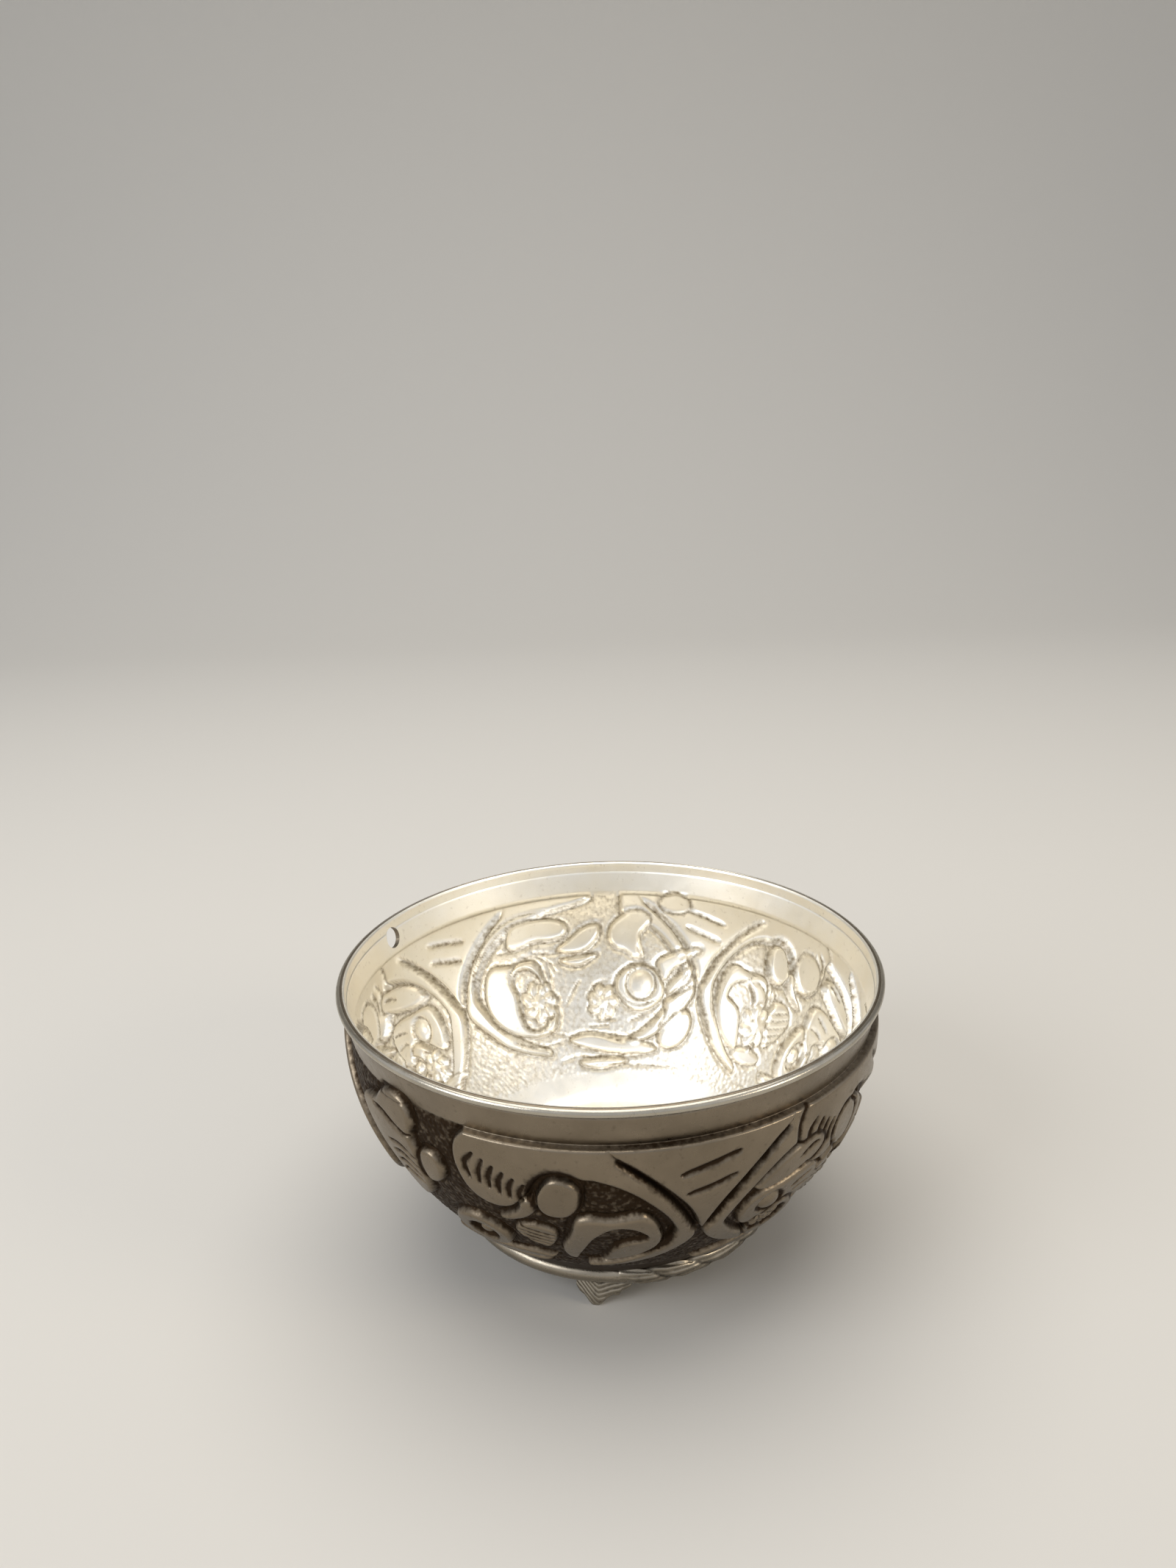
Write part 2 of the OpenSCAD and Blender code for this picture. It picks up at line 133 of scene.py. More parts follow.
def smooth(f):
    """Nought to one with level ends: f squared times three less twice f."""
    f = np.clip(f, 0, 1)
    return f * f * (3 - 2 * f)


# Profile of the sheet

def wall_curve(t):
    """Points and outward normals of the wall's cubic curve through its four handles."""
    p, s = WALL_HANDLES, 1 - t
    w = np.stack([s**3, 3 * s * s * t, 3 * s * t * t, t**3], -1)
    d = np.stack([s * s, 2 * s * t, t * t], -1) @ (3 * np.diff(p, axis=0))
    d /= np.linalg.norm(d, axis=-1, keepdims=True)
    return w @ p, np.stack([-d[:, 1], d[:, 0]], -1)


def wall_stations():
    """Distance down the wall against the curve's own share, from short chords."""
    t = np.linspace(0, 1, 801)
    p = wall_curve(t)[0]
    run = np.concatenate([[0], np.cumsum(np.hypot(*np.diff(p, axis=0).T))])
    return t, run


WALL_T, WALL_RUN = wall_stations()
WALL_LONG = WALL_RUN[-1]


def lip_curve(start, end):
    """Half of the rounded edge of the sheet, between two angles above level: a squarish
    oval of the third power, with its normals."""
    turn = np.radians(np.linspace(start, end, LIP_ROWS + 1))[:-1]
    c, s = np.cos(turn), np.sin(turn)
    size = SHEET / 2 / (np.abs(c) ** 3 + np.abs(s) ** 3) ** (1 / 3)
    p = np.stack([BAND_R - SHEET / 2 + size * c, LIP_Z - SHEET / 2 + size * s], -1)
    n = np.stack([np.sign(c) * c**2, s**2], -1)
    return p, n / np.linalg.norm(n, axis=-1, keepdims=True)


def band_radius(z):
    """Radius of the band's outer face: upright behind the wire, then leaning in."""
    return BAND_R - LEAN_SLOPE * np.clip(LIP_Z - WIRE_HIGH - z, 0, BAND_HIGH)


def sheet_rows():
    """Rows of the outer face, from the top of the lip to the seam in the floor: the
    distance below the band's line, the point of the profile and its outward normal."""
    lip, lip_n = lip_curve(88, 0)
    line_z = LIP_Z - BAND_HIGH
    hole_z = LIP_Z - HOLE_DROP
    z = np.concatenate([
        np.linspace(LIP_Z - SHEET / 2, hole_z, ROWS_TO_HOLE + 1)[:-1],
        np.linspace(hole_z, line_z, BAND_ROWS - ROWS_TO_HOLE + 1)[:-1],
    ])
    # The groove under the wire catches the light along the band's upper edge
    step = (z - (LIP_Z - WIRE_HIGH - GROOVE_DROP)) / GROOVE_WIDE
    band = np.stack([band_radius(z) - GROOVE_DEEP * np.exp(-step**2), z], -1)
    lean = GROOVE_DEEP * np.exp(-step**2) * 2 * step / GROOVE_WIDE
    lean = lean + LEAN_SLOPE * smooth((LIP_Z - WIRE_HIGH - z) / 0.3)
    band_n = np.stack([np.ones_like(z), -lean], -1)
    band_n /= np.linalg.norm(band_n, axis=-1, keepdims=True)
    v = np.concatenate([
        np.linspace(0, FINE_DOWN, FINE_ROWS)[:-1], np.linspace(FINE_DOWN, WALL_LONG, COARSE_ROWS)])
    wall, wall_n = wall_curve(np.interp(v, WALL_RUN, WALL_T))
    r = np.linspace(BASE_R, FLOOR_SEAM_R, FLOOR_ROWS)[1:]
    under = np.stack([r, FLOOR_Z + (BASE_Z - FLOOR_Z) * (1 - smooth((BASE_R - r) / 1.2))], -1)
    down = np.concatenate([np.full(len(lip), line_z - LIP_Z), line_z - z, v, WALL_LONG + BASE_R - r])
    below = np.tile((0.0, -1.0), (len(r), 1))
    points = np.concatenate([lip, band, wall, under])
    return down, points, np.concatenate([lip_n, band_n, wall_n, below])


DOWN, OUTER, OUTER_N = sheet_rows()
# Distance down as the ornament is drawn
DRAWN = DOWN * DRAWN_LONG / WALL_LONG
# At the front the forms stand closer together towards the base
FRONT_DRAWN = np.interp(DOWN, (-9, 15.5, 30, 39), (-9.3, 16, 36.4, 49))
FRONT_JOINS = (0, 4)
HOLE_ROW = LIP_ROWS + ROWS_TO_HOLE
HOLE_COLUMN = round(HOLE_AZIMUTH * COLUMNS / 360)
AZIMUTH = np.arange(COLUMNS) * 360 / COLUMNS
# Millimetres of the ornament's drawing for each degree, as measured on the band
ARC = BAND_R * np.pi / 180


# Embossing and chasing

def rounded(outline, times=2):
    """Cuts the corners of a closed outline by quarters, so that it turns smoothly."""
    p = np.array(outline, float)
    for _ in range(times):
        q = np.roll(p, -1, 0)
        p = np.stack([0.75 * p + 0.25 * q, 0.25 * p + 0.75 * q], 1).reshape(-1, 2)
    return p


def through(points, steps=8):
    """A smooth curve through the points: each span is a cubic whose slope at a point is
    half the step from the point before to the point after."""
    p = np.array(points, float)
    a = np.vstack([2 * p[0] - p[1], p, 2 * p[-1] - p[-2]])
    f = np.linspace(0, 1, steps, endpoint=False)[None, :, None]
    p0, p1, p2, p3 = (a[i:len(p) - 1 + i, None] for i in range(4))
    c = (p1 + f / 2 * (p2 - p0) + f * f * (p0 - 2.5 * p1 + 2 * p2 - p3 / 2)
         + f**3 * (1.5 * (p1 - p2) + (p3 - p0) / 2))
    return np.vstack([c.reshape(-1, 2), p[-1:]])


def to_chords(x, y, a, b):
    """Distance from each place to each chord from a to b, and the share along it."""
    d = b - a
    px, py = x[..., None] - a[:, 0], y[..., None] - a[:, 1]
    f = np.clip((px * d[:, 0] + py * d[:, 1]) / np.maximum((d**2).sum(1), 1e-9), 0, 1)
    return np.hypot(px - d[:, 0] * f, py - d[:, 1] * f), f


def depth_inside(x, y, a):
    """Distance in from a closed outline, below nought outside it."""
    b = np.roll(a, -1, 0)
    dist = to_chords(x, y, a, b)[0].min(-1)
    spans = (a[:, 1] <= y[..., None]) != (b[:, 1] <= y[..., None])
    rise = np.where(b[:, 1] == a[:, 1], 1, b[:, 1] - a[:, 1])
    cross = a[:, 0] + (y[..., None] - a[:, 1]) * (b[:, 0] - a[:, 0]) / rise
    inside = (spans & (cross > x[..., None])).sum(-1) % 2 == 1
    return np.where(inside, dist, -dist)


def quarter_round(depth, edge):
    """Rises as a quarter circle over the edge's width and is flat further in."""
    g = np.clip(depth / edge, 0, 1)
    return np.sqrt(1 - (1 - g) ** 2)


class Ornament:
    """The wall's relief over azimuth and distance down: how high the sheet is pushed
    out, how deep lines are chased, how dark they are, and where the ground is bare.
    Forms are given by places to the right of a join and down from the band's line."""

    def __init__(self):
        shape = (len(DOWN), COLUMNS)
        self.height, self.line, self.dark = np.zeros(shape), np.zeros(shape), np.zeros(shape)
        self.ground = np.ones(shape, bool)
        self.ground[(DRAWN < 0) | (DRAWN > GROUND_LONG)] = False

    def place(self, join, low, high, top=0.0):
        """The cells within and near two corners, and the places of those cells."""
        across = ((AZIMUTH - JOINS[join] + 180) % 360 - 180) * ARC
        columns = np.flatnonzero((across > low[0] - MARGIN) & (across < high[0] + MARGIN))
        columns = columns[np.argsort(across[columns])]
        drawn = FRONT_DRAWN if join in FRONT_JOINS else DRAWN
        rows = np.flatnonzero((drawn > max(low[1] - MARGIN, top)) & (drawn < high[1] + MARGIN))
        x, y = np.meshgrid(across[columns], drawn[rows])
        return np.ix_(rows, columns), x, y

    def chase(self, at, distance, width, depth, dark=1.0):
        """A line pressed in beside a distance, as a bell curve of that width."""
        g = np.exp(-(distance / width) ** 2)
        self.line[at] = np.maximum(self.line[at], depth * g)
        self.dark[at] = np.maximum(self.dark[at], dark * g)

    def clear(self, at, depth):
        """Rubs out what was chased inside a form."""
        for field in (self.line, self.dark):
            field[at] *= np.clip(-depth / 0.15, 0, 1)
        self.ground[at] &= depth <= 0

    def raise_pad(self, join, *outlines, height=1.0, edge=0.8, line=0.4, top=0.0):
        """Pushes a closed form out, flat on top, with a chased line round it. More
        outlines than one run together. The form rounds off where it meets the band."""
        shapes = [rounded(a) for a in outlines]
        ends = np.concatenate(shapes)
        at, x, y = self.place(join, ends.min(0), ends.max(0), top)
        depth = np.max([depth_inside(x, y, a) for a in shapes], axis=0)
        self.clear(at, depth)
        shape = height * quarter_round(np.minimum(depth, y - top + 0.15), edge)
        self.height[at] = np.maximum(self.height[at] * (depth <= 0.6), np.where(depth > 0, shape, 0))
        self.chase(at, np.abs(depth + 0.22), line, 0.3)

    def hollow(self, join, outline, depth=0.8):
        """Sets a closed form back to the punched ground."""
        a = rounded(outline)
        at, x, y = self.place(join, a.min(0), a.max(0))
        d = depth_inside(x, y, a)
        self.height[at] *= 1 - quarter_round(d, 0.7) * depth
        self.ground[at] |= d > 0.25
        self.chase(at, np.abs(d - 0.25), 0.42, 0.2)

    def stroke(self, join, points, width=0.36, depth=0.34, dark=1.0, blunt=False):
        """Chases an open line that swells to its middle and fades at both ends, or
        holds its width to blunt ends."""
        p = through(points)
        at, x, y = self.place(join, p.min(0), p.max(0))
        d, f = to_chords(x, y, p[:-1], p[1:])
        k = d.argmin(-1)
        t = (k + np.take_along_axis(f, k[..., None], -1)[..., 0]) / (len(p) - 1)
        swell = 0.35 + 0.65 * np.sqrt(np.sin(np.pi * np.clip(t, 0.02, 0.98)))
        if blunt:
            swell = 0.7 + 0.3 * smooth(8 * t) * smooth(8 * (1 - t))
        self.chase(at, d.min(-1) / swell, width, depth, dark)

    def boss(self, join, middle, radius, height):
        """A round ball: height times the root of one less the squared radius share."""
        centre = np.array(middle, float)
        at, x, y = self.place(join, centre - radius, centre + radius)
        q = np.hypot(x - centre[0], y - centre[1])
        self.clear(at, radius - q)
        ball = height * np.sqrt(np.clip(1 - (q / radius) ** 2, 0, 1))
        self.height[at] = np.where(q < radius, np.maximum(ball, self.height[at] * 0.3), self.height[at])
        self.chase(at, np.abs(q - radius - 0.15), 0.34, 0.26)

    def flower(self, join, middle, radius, petals=7, height=0.95):
        """Petals that swirl round a button: a rim notched by the cosine of the petals'
        angle, with a valley between each two petals that turns with the radius."""
        centre = np.array(middle, float)
        at, x, y = self.place(join, centre - radius, centre + radius)
        q = np.hypot(x - centre[0], y - centre[1])
        turn = petals * np.arctan2(y - centre[1], x - centre[0])
        notch = 0.5 - 0.5 * np.cos(turn + 3.2 * q / radius)
        d = radius * (1 - 0.2 * notch) - q
        self.clear(at, d)
        petal = quarter_round(d, radius * 0.42) * (1 - 0.6 * notch**3 * smooth(2 * q / radius))
        button = np.sqrt(np.clip(1 - (q / (0.3 * radius)) ** 2, 0, 1))
        self.height[at] = np.where(d > 0, height * np.maximum(0.8 * petal, button), self.height[at])
        self.chase(at, np.abs(d + 0.15), 0.34, 0.28)
        self.chase(at, np.abs(q - 0.38 * radius), 0.2, 0.16, 0.7)


# Outlines of the forms, as distance from the join and distance down from the band's line
SCROLL = (
    (13.6, -1.6), (12.9, 1.6), (9.3, 4.6), (6.6, 7.4), (4.4, 10.2), (2.7, 13), (1.1, 16.2),
    (0.3, 18.6), (1, 21.2), (3, 24.2), (5.4, 26.8), (8.6, 29), (12.4, 30.8), (16, 31.8),
    (18.4, 32.2), (18, 30.8), (14, 29.4), (10.6, 27.2), (7.8, 24.4), (5.6, 21.2), (4.2, 18.2),
    (3.9, 16.6), (4.8, 14.4), (6.2, 12), (8.2, 9.7), (10.5, 7.6), (13, 6.1), (15.6, 5.2),
    (17.5, 4.6), (17.5, -1.6),
)
BROAD_LEAF = (
    (12.9, -1.6), (22, -1.6), (31.5, -1.6), (34.2, 0.1), (35.6, 1.7), (36, 4), (35.6, 6.5),
    (34.4, 9.6), (32.3, 11.6), (29.6, 12.2), (27.3, 11.6), (25.7, 9.8), (24.4, 7.6), (23.4, 5.8),
    (21.8, 4.7), (19.8, 4.5), (18.1, 5.2), (16.6, 5.1), (14, 5.4),
)
BRANCH = (
    (24.2, 8.8), (23.5, 10.8), (24.6, 13), (28.2, 15), (31.2, 15), (28.6, 13.5), (26.8, 12),
    (26.4, 10),
)
KNUCKLE = (
    (23.1, 6.8), (21.6, 5.2), (19.5, 5.2), (17.7, 6.5), (17.3, 9.3), (18.2, 11.8), (20.8, 12.9),
    (23.3, 12.2), (24.2, 9.6),
)
ARCH = (
    (18.3, 12.6), (15.9, 12.2), (13.4, 12.7), (11, 12.1), (9, 11.7), (7.2, 13.1), (6.1, 15.7),
    (5.6, 18.2), (5.7, 20.6), (6.8, 23.2), (9.3, 25.7), (12.6, 27.3), (16, 28), (20.6, 27.6),
    (21.9, 24), (21, 20.6), (20.2, 18.6), (19.6, 16.2), (19.1, 13.8),
)
ARCH_HOLLOW = (
    (17.3, 20.8), (16.2, 17.6), (14.8, 15.6), (13.2, 14.6), (11.2, 14.5), (9.4, 15.4), (8, 17.2),
    (8.2, 18.7), (10, 19.1), (12.2, 20.2), (13.4, 22), (14.2, 24.4), (15.2, 27), (16.4, 29.8),
    (19.8, 29.8), (19.2, 26.6), (18.4, 24),
)
JOIN_FIELD = (
    (-14.6, -1.6), (14.6, -1.6), (13.7, 1.2), (9.6, 4), (6, 7.3), (3, 10.7), (1.2, 14.2),
    (0, 18.4), (-1.2, 14.2), (-3, 10.7), (-6, 7.3), (-9.6, 4), (-13.7, 1.2),
)
TOP_STRIP = (
    (12, -1.6), (30, -1.6), (31.5, 0.4), (28.5, 2), (24.5, 2.7), (20.8, 3.4), (17.8, 4.5),
    (13.5, 5.6),
)
ROUND_SCROLL = (
    (37.6, 17.2), (34.8, 16.6), (32.4, 17.8), (30.4, 20.6), (29.8, 24), (31.4, 27.2),
    (34.8, 28.6), (38.6, 27.6), (41, 24), (40.6, 19.8),
)
ROUND_HOLLOW = (
    (36.6, 20), (34.6, 19.4), (32.8, 20.8), (32.4, 23.6), (33.6, 25.8), (35.6, 26), (37.6, 24.6),
    (37.9, 21.9),
)
HATCH_LEAF = (
    (21.8, 16.4), (24.4, 15.4), (27.4, 16), (29, 18), (28.4, 20.6), (26.6, 23.2), (24.2, 25.4),
    (22.6, 22.8), (21.6, 19.2),
)
LOWER_LEAF = (
    (22, 29.6), (28, 28.4), (34, 29.6), (41, 30.2), (48.5, 31.8), (41, 33.2), (34, 33),
    (27, 31.6),
)
LOWER_TIP = ((24, 34.2), (30, 33.7), (41, 34.2), (33, 36), (28, 35.8))
SIDE_LEAF = (
    (57.6, 3.6), (54.2, 2.2), (52.4, 2.2), (51, 0.2), (49.2, -1.1), (47.2, -1.4), (45, -0.7),
    (43.4, 1.2), (43.1, 3.6), (44.2, 4.8), (42.7, 7.2), (42.2, 9.8), (42.2, 12.4), (42.9, 15.7),
    (44.7, 17.9), (46.6, 16.6), (48.9, 13.2), (52, 10.4), (55, 7.4),
)
SIDE_LOBE = ((43, 6.2), (39.8, 5.7), (38.2, 7.4), (38.4, 10.4), (40.6, 12.4), (42.8, 11.6))
ROUND_LEAF = ((22.6, 6.4), (25, 4.2), (28, 4.6), (29.4, 8), (28, 11.4), (25.2, 12), (22.8, 9.8))
CAP_LEAF = (
    (7.2, 11.6), (8.6, 9.7), (11, 7.9), (14.4, 6.3), (17.8, 5.6), (20.2, 6.7), (20.3, 8.6),
    (18.8, 9.8), (16.4, 10.8), (13.4, 11.8), (10, 12.4),
)
TRIM_LEAF = (
    (7, 14.4), (9, 12.9), (13, 12.8), (17, 12), (21, 12.2), (22.4, 15), (21.4, 19), (18.6, 21.4),
    (17.6, 18.6), (15, 17), (12, 19.6), (9.4, 22.6), (7.2, 21.6), (6.2, 18),
)
BACK_LEAF = (
    (13.6, 4.9), (18, 4.1), (23.4, 4.4), (26.2, 6.2), (25.4, 8.6), (22, 9.2), (18.6, 8.6),
    (15.4, 9.6), (12.4, 9.4),
)
BACK_TIP = (
    (32.4, 6.1), (29, 6.8), (25.8, 9.5), (22.6, 11.2), (26, 12.5), (29.6, 11.9), (31.6, 10.1),
    (32.8, 8),
)
BACK_CRESCENT = ((32.4, 12.4), (30.4, 12.8), (26, 13), (22.9, 13.2), (25.6, 14.8), (28.8, 14.9))
BACK_UP = (
    (34, 9.6), (34.4, 7), (36.8, 4.6), (40, 3.6), (42.8, 4.6), (42.4, 7), (40.6, 8.6), (41, 11),
    (41.8, 13.4), (39.6, 13.8), (37.4, 12), (35.4, 11.6),
)
BACK_HOLLOW = (
    (12.4, 15.6), (14.5, 13.8), (17, 14), (19, 16), (19.8, 19.5), (20, 24), (18, 27),
    (13.5, 26.4), (12.8, 22), (13.4, 19),
)
TOP_KNOB = ((44.5, 3.1), (45.2, 0.4), (48, -0.9), (50.6, 0.4), (50.8, 3.1), (47.6, 4.1))
CURLED_STEM = (
    (46.8, 19.6), (45.4, 16.6), (42.6, 14.9), (39.4, 14.8), (36.4, 16.6), (35.2, 19),
    (36.2, 21.8), (38.8, 24.2), (42.6, 24.4), (45.8, 22.4),
)
SPIKES = (
    ((44.2, 13.7), (48.8, 11.6), (54.2, 9.9), (51.2, 12.8), (47.8, 15.7), (46.2, 18.4), (45.2, 16.2)),
    ((46.9, 19.3), (49, 16.4), (52.9, 13.2), (51.8, 16.8), (49.6, 19.4), (47.4, 20.8)),
    ((46.4, 21.8), (50, 20.4), (53.4, 17.5), (52.9, 21), (50, 24.6), (45.9, 27.7), (47.8, 24.6)),
)
FOOT_LEAF = ((46, 28.6), (49, 24.6), (52.8, 22.6), (54.6, 25.6), (53.4, 29.6), (50, 31.4), (47, 31))
MATTED_LEAF = ((15.6, 27.2), (20, 26.4), (25, 27), (24.2, 29), (19, 30), (14.6, 28.8))

# Chased strokes, drawn as the outlines are
ARM = ((12.3, 2.1), (9.5, 4.3), (6.4, 7.4), (3.9, 10.8), (2, 14.2), (0.2, 18))
INNER_ARC = (
    (16.8, 5.5), (14, 6.3), (11.3, 7.7), (8.6, 10.1), (6.5, 12.9), (5.1, 15.6), (4.5, 18.2),
    (4.9, 20.8), (6.2, 23.2),
)
KNUCKLE_ARC = ((24.8, 9.4), (24.3, 6.8), (22.8, 5), (20.8, 4.2), (18.6, 4.6), (17.1, 6))
KNUCKLE_SIDE = (
    (17, 5.8), (17.3, 8.3), (17.6, 10.2), (18.7, 12), (19.7, 14.2), (20.4, 16.7), (20.9, 19.2),
)
KNUCKLE_FOOT = ((24.6, 12.7), (22.7, 13.2), (20.8, 13.1), (18.8, 12.2))
DASHES = (((-3.8, 4.9), (0, 3.9), (4.2, 2.9)), ((-2.8, 8.4), (0.5, 7.6), (3.8, 6.6)))
BEAD_LINE = (
    (21.7, 4), (15.8, 4.1), (11.7, 5.9), (8.9, 8), (6.5, 10.4), (4.8, 13.3), (4.2, 15.3),
    (5.4, 19.4), (7.2, 23.9),
)
BACK_ARC = (
    (21.7, 2.7), (15.8, 3.1), (12.5, 4.1), (10, 5.5), (8, 7.2), (6.4, 9.2), (5, 11.6),
    (4.2, 14.1),
)
BACK_FOOT = ((9.7, 27.5), (14.1, 29.6), (18.2, 30), (23.1, 29.6))
SWEEP = ((0.5, 17.8), (0.9, 20.2), (3.2, 23.5), (5.2, 25.9), (7.2, 28.1))
LEAF_LINES = (
    ((10.1, 9.4), (11.7, 9.6), (13.7, 10)),
    ((12.5, 14.9), (14.2, 12.9), (15.8, 11.6), (18.2, 11.7), (20.2, 12.7), (21.9, 14.1), (22.3, 15.3)),
    ((14.1, 14.5), (16.2, 14.1), (18.2, 15.3), (19.4, 17.4), (19.8, 19.4)),
    ((20.7, 17.8), (21.3, 16.1), (20.9, 13.7)),
    ((23.9, 22.6), (25.1, 21), (26.3, 19.4), (27.6, 17.8)),
    ((20.6, 21.7), (21.4, 20.2), (22, 21.2), (21.2, 22.8)),
    ((17.8, 10.8), (21.5, 11.7), (25.5, 12.1), (28.6, 12.2)),
    ((18.2, 26.7), (20.2, 27.9), (23.1, 28.8)),
)
COIL_LINES = (
    ((29.2, 23.5), (29.4, 21.4), (30.4, 19.4), (32.4, 18.4), (34.1, 18.4)),
    ((36.5, 17.1), (37.7, 15.9), (40.2, 15), (42.6, 15.2), (44.6, 16.5), (46.3, 18.6)),
    ((36.1, 20.6), (38.1, 22.4), (40.6, 23.1), (43, 22.6), (45, 21.8)),
    ((40.2, 11.2), (41, 13.3), (42.6, 14.9), (44.6, 16.5)),
    ((39.2, 26.4), (40.8, 25.8), (42, 25.2)),
    ((30.4, 26.1), (33, 26.3), (35.9, 26.1)),
    ((28.8, 27.3), (31.4, 27.5), (33.9, 27.3)),
)
BORDER_LINES = (
    ((20, 33.6), (25, 33.3), (30, 33.6)),
    ((31.6, 33.1), (35.3, 33), (41.4, 33.8)),
    ((28.4, 35.2), (40.6, 35.3), (52.8, 34.8)),
    ((33.2, 29.8), (36.1, 30.4), (39, 30.6)),
)


def mirrored(places, stretch=1.0):
    """Places to the right of a join as places to its left, further out by a factor."""
    return np.array(places) * (-stretch, 1)


def scroll_and_arch(o, j, left):
    """The scroll with its field, and the arch inside it, to the left of a join. The
    back join's are plainer."""
    together = [left(SCROLL)]
    if j != LAST_JOIN:
        together += [JOIN_FIELD, SCROLL]
    if j in RIGHT_JOINS:
        together += [TOP_STRIP]
    if j == BACK_JOIN:
        o.raise_pad(j, left(TOP_STRIP), *together, height=1.05)
        o.raise_pad(j, left(BACK_LEAF))
        o.raise_pad(j, left(BACK_TIP))
        o.raise_pad(j, left(BACK_CRESCENT), height=0.7)
    else:
        o.raise_pad(j, left(BROAD_LEAF), left(BRANCH), *together, height=1.05)
        o.raise_pad(j, left(KNUCKLE), height=0.95)
        # Veins of the broad leaf, each a little shorter than the one before
        for k in range(6):
            x, y, tall = 32.9 - 1.45 * k, 3.1 + 0.72 * k, 4.1 - 0.2 * k
            bend = 0.9 if k == 0 else 0.25
            o.stroke(j, left(((x - 0.5, y), (x + bend, y + 0.45 * tall), (x + 0.3, y + tall))), 0.5, 0.4)
    o.raise_pad(j, left(ARCH), edge=1.0)
    if j == BACK_JOIN:
        o.hollow(j, left(BACK_HOLLOW))
        o.flower(j, left((17.8, 21)), 4.4)
        for line in (BACK_ARC, BEAD_LINE, BACK_FOOT, *LEAF_LINES):
            o.stroke(j, left(line), 0.3, 0.32, 0.9)
        o.stroke(j, left(SWEEP), 0.5, 0.4)
    else:
        o.hollow(j, left(ARCH_HOLLOW))
        o.stroke(j, left(INNER_ARC), 0.62, 0.4, blunt=True)
        o.stroke(j, left(KNUCKLE_ARC), 0.72, 0.42, blunt=True)
        o.stroke(j, left(KNUCKLE_SIDE), 0.5, 0.4)
        o.stroke(j, left(KNUCKLE_FOOT), 0.5, 0.36)


def flower_in_arch(o, j, left):
    """The flower, leaf veins and matted leaf that fill the arch at the right side."""
    o.flower(j, left((19.2, 21.8)), 4.4)
    for line in LEAF_LINES[1:4]:
        o.stroke(j, left(line), 0.28, 0.3, 0.9)
    o.raise_pad(j, left(MATTED_LEAF), height=0.6)
    o.stroke(j, left(SWEEP), 0.5, 0.4)


def arms(o, j):
    """The two long lines that meet at a join, and the dashes between them."""
    o.stroke(j, mirrored(ARM), 0.74, 0.42, blunt=True)
    o.stroke(j, ARM, 0.66, 0.42, blunt=True)
    for d in DASHES:
        o.stroke(j, d, 0.44, 0.5, blunt=True)


def round_scroll(o, j, left):
    """The small scroll with its ball, and the hatched leaf beside it."""
    o.raise_pad(j, left(ROUND_SCROLL), edge=1.1, line=0.5)
    o.hollow(j, left(ROUND_HOLLOW))
    o.boss(j, left((34.9, 22.8)), 1.5, 0.8)
    o.raise_pad(j, left(HATCH_LEAF), height=0.6)
    for k in range(5):
        y = 17.2 + 1.5 * k
        o.stroke(j, left(((22.4, y + 1.3), (24.8, y + 0.6), (28, y - 0.7))), 0.3, 0.3)
    for line in BORDER_LINES[:2]:
        o.stroke(j, left(line), 0.26, 0.24, 0.8)


def right_of_join(o, j):
    """Leaves, a ball and a flower to the right of a join."""
    o.raise_pad(j, CAP_LEAF)
    o.stroke(j, ((15.4, 8.6), (17.4, 7.6), (18.8, 7.4)), 0.42, 0.36)
    o.raise_pad(j, TRIM_LEAF, height=0.8)
    o.raise_pad(j, ROUND_LEAF)
    o.boss(j, (12, 16.7), 2.3, 1.1)
    o.flower(j, (13.5, 24), 3.6)
    for line in ((19.8, 14), (17.6, 14.6), (16, 15.2)), ((20.6, 16.6), (18.6, 16.6), (17, 17)):
        o.stroke(j, line, 0.3, 0.3)


def back_panel(o, j=BACK_JOIN):
    """The panel at the back, which the spiral and the leaf spikes fill."""
    o.raise_pad(j, mirrored(BACK_UP))
    o.raise_pad(j, mirrored(TOP_KNOB), top=-1.1)
    o.raise_pad(j, mirrored(CURLED_STEM), height=0.85)
    o.boss(j, (-41.2, 18.9), 3.1, 1.1)
    o.flower(j, (-32.6, 22.6), 3.8)
    for spike in SPIKES:
        o.raise_pad(j, mirrored(spike), height=0.85, edge=0.7)
    o.raise_pad(j, mirrored(FOOT_LEAF), height=0.8)
    for line in (*COIL_LINES, *BORDER_LINES):
        o.stroke(j, mirrored(line), 0.32, 0.32, 0.9)


def side_leaf(o, j=0):
    """The leaf at the left of the front panel, with its lobe and veins."""
    o.raise_pad(j, mirrored(SIDE_LEAF), edge=1.0, line=0.48, top=-1.5)
    o.raise_pad(j, mirrored(SIDE_LOBE), height=0.9)
    o.stroke(j, mirrored(((52.4, 3.2), (50, 3.4), (46.4, 4.7), (44.2, 5))), 0.42, 0.36)
    for k in range(4):
        vein = ((49.4 - 0.6 * k, 7.8 + 1.6 * k), (46.6, 7.6 + 1.5 * k), (43.6, 8.8 + 1.5 * k))
        o.stroke(j, mirrored(vein), 0.3, 0.3)


def draw_ornament():
    """The whole wall, laid out form by form as the chaser drew it."""
    o = Ornament()
    for j, wide in enumerate((1, 0.95, 0.84, 1, 1)):
        def left(places, k=wide):
            return mirrored(places, k)

        scroll_and_arch(o, j, left)
        if j in MATTED_JOINS:
            flower_in_arch(o, j, left)
        if j != LAST_JOIN:
            arms(o, j)
        o.raise_pad(j, mirrored(LOWER_LEAF), height=0.7)
        o.raise_pad(j, mirrored(LOWER_TIP), height=0.55)
        if j != BACK_JOIN:
            round_scroll(o, j, left)
    for j in RIGHT_JOINS:
        right_of_join(o, j)
    back_panel(o)
    side_leaf(o)
    return o


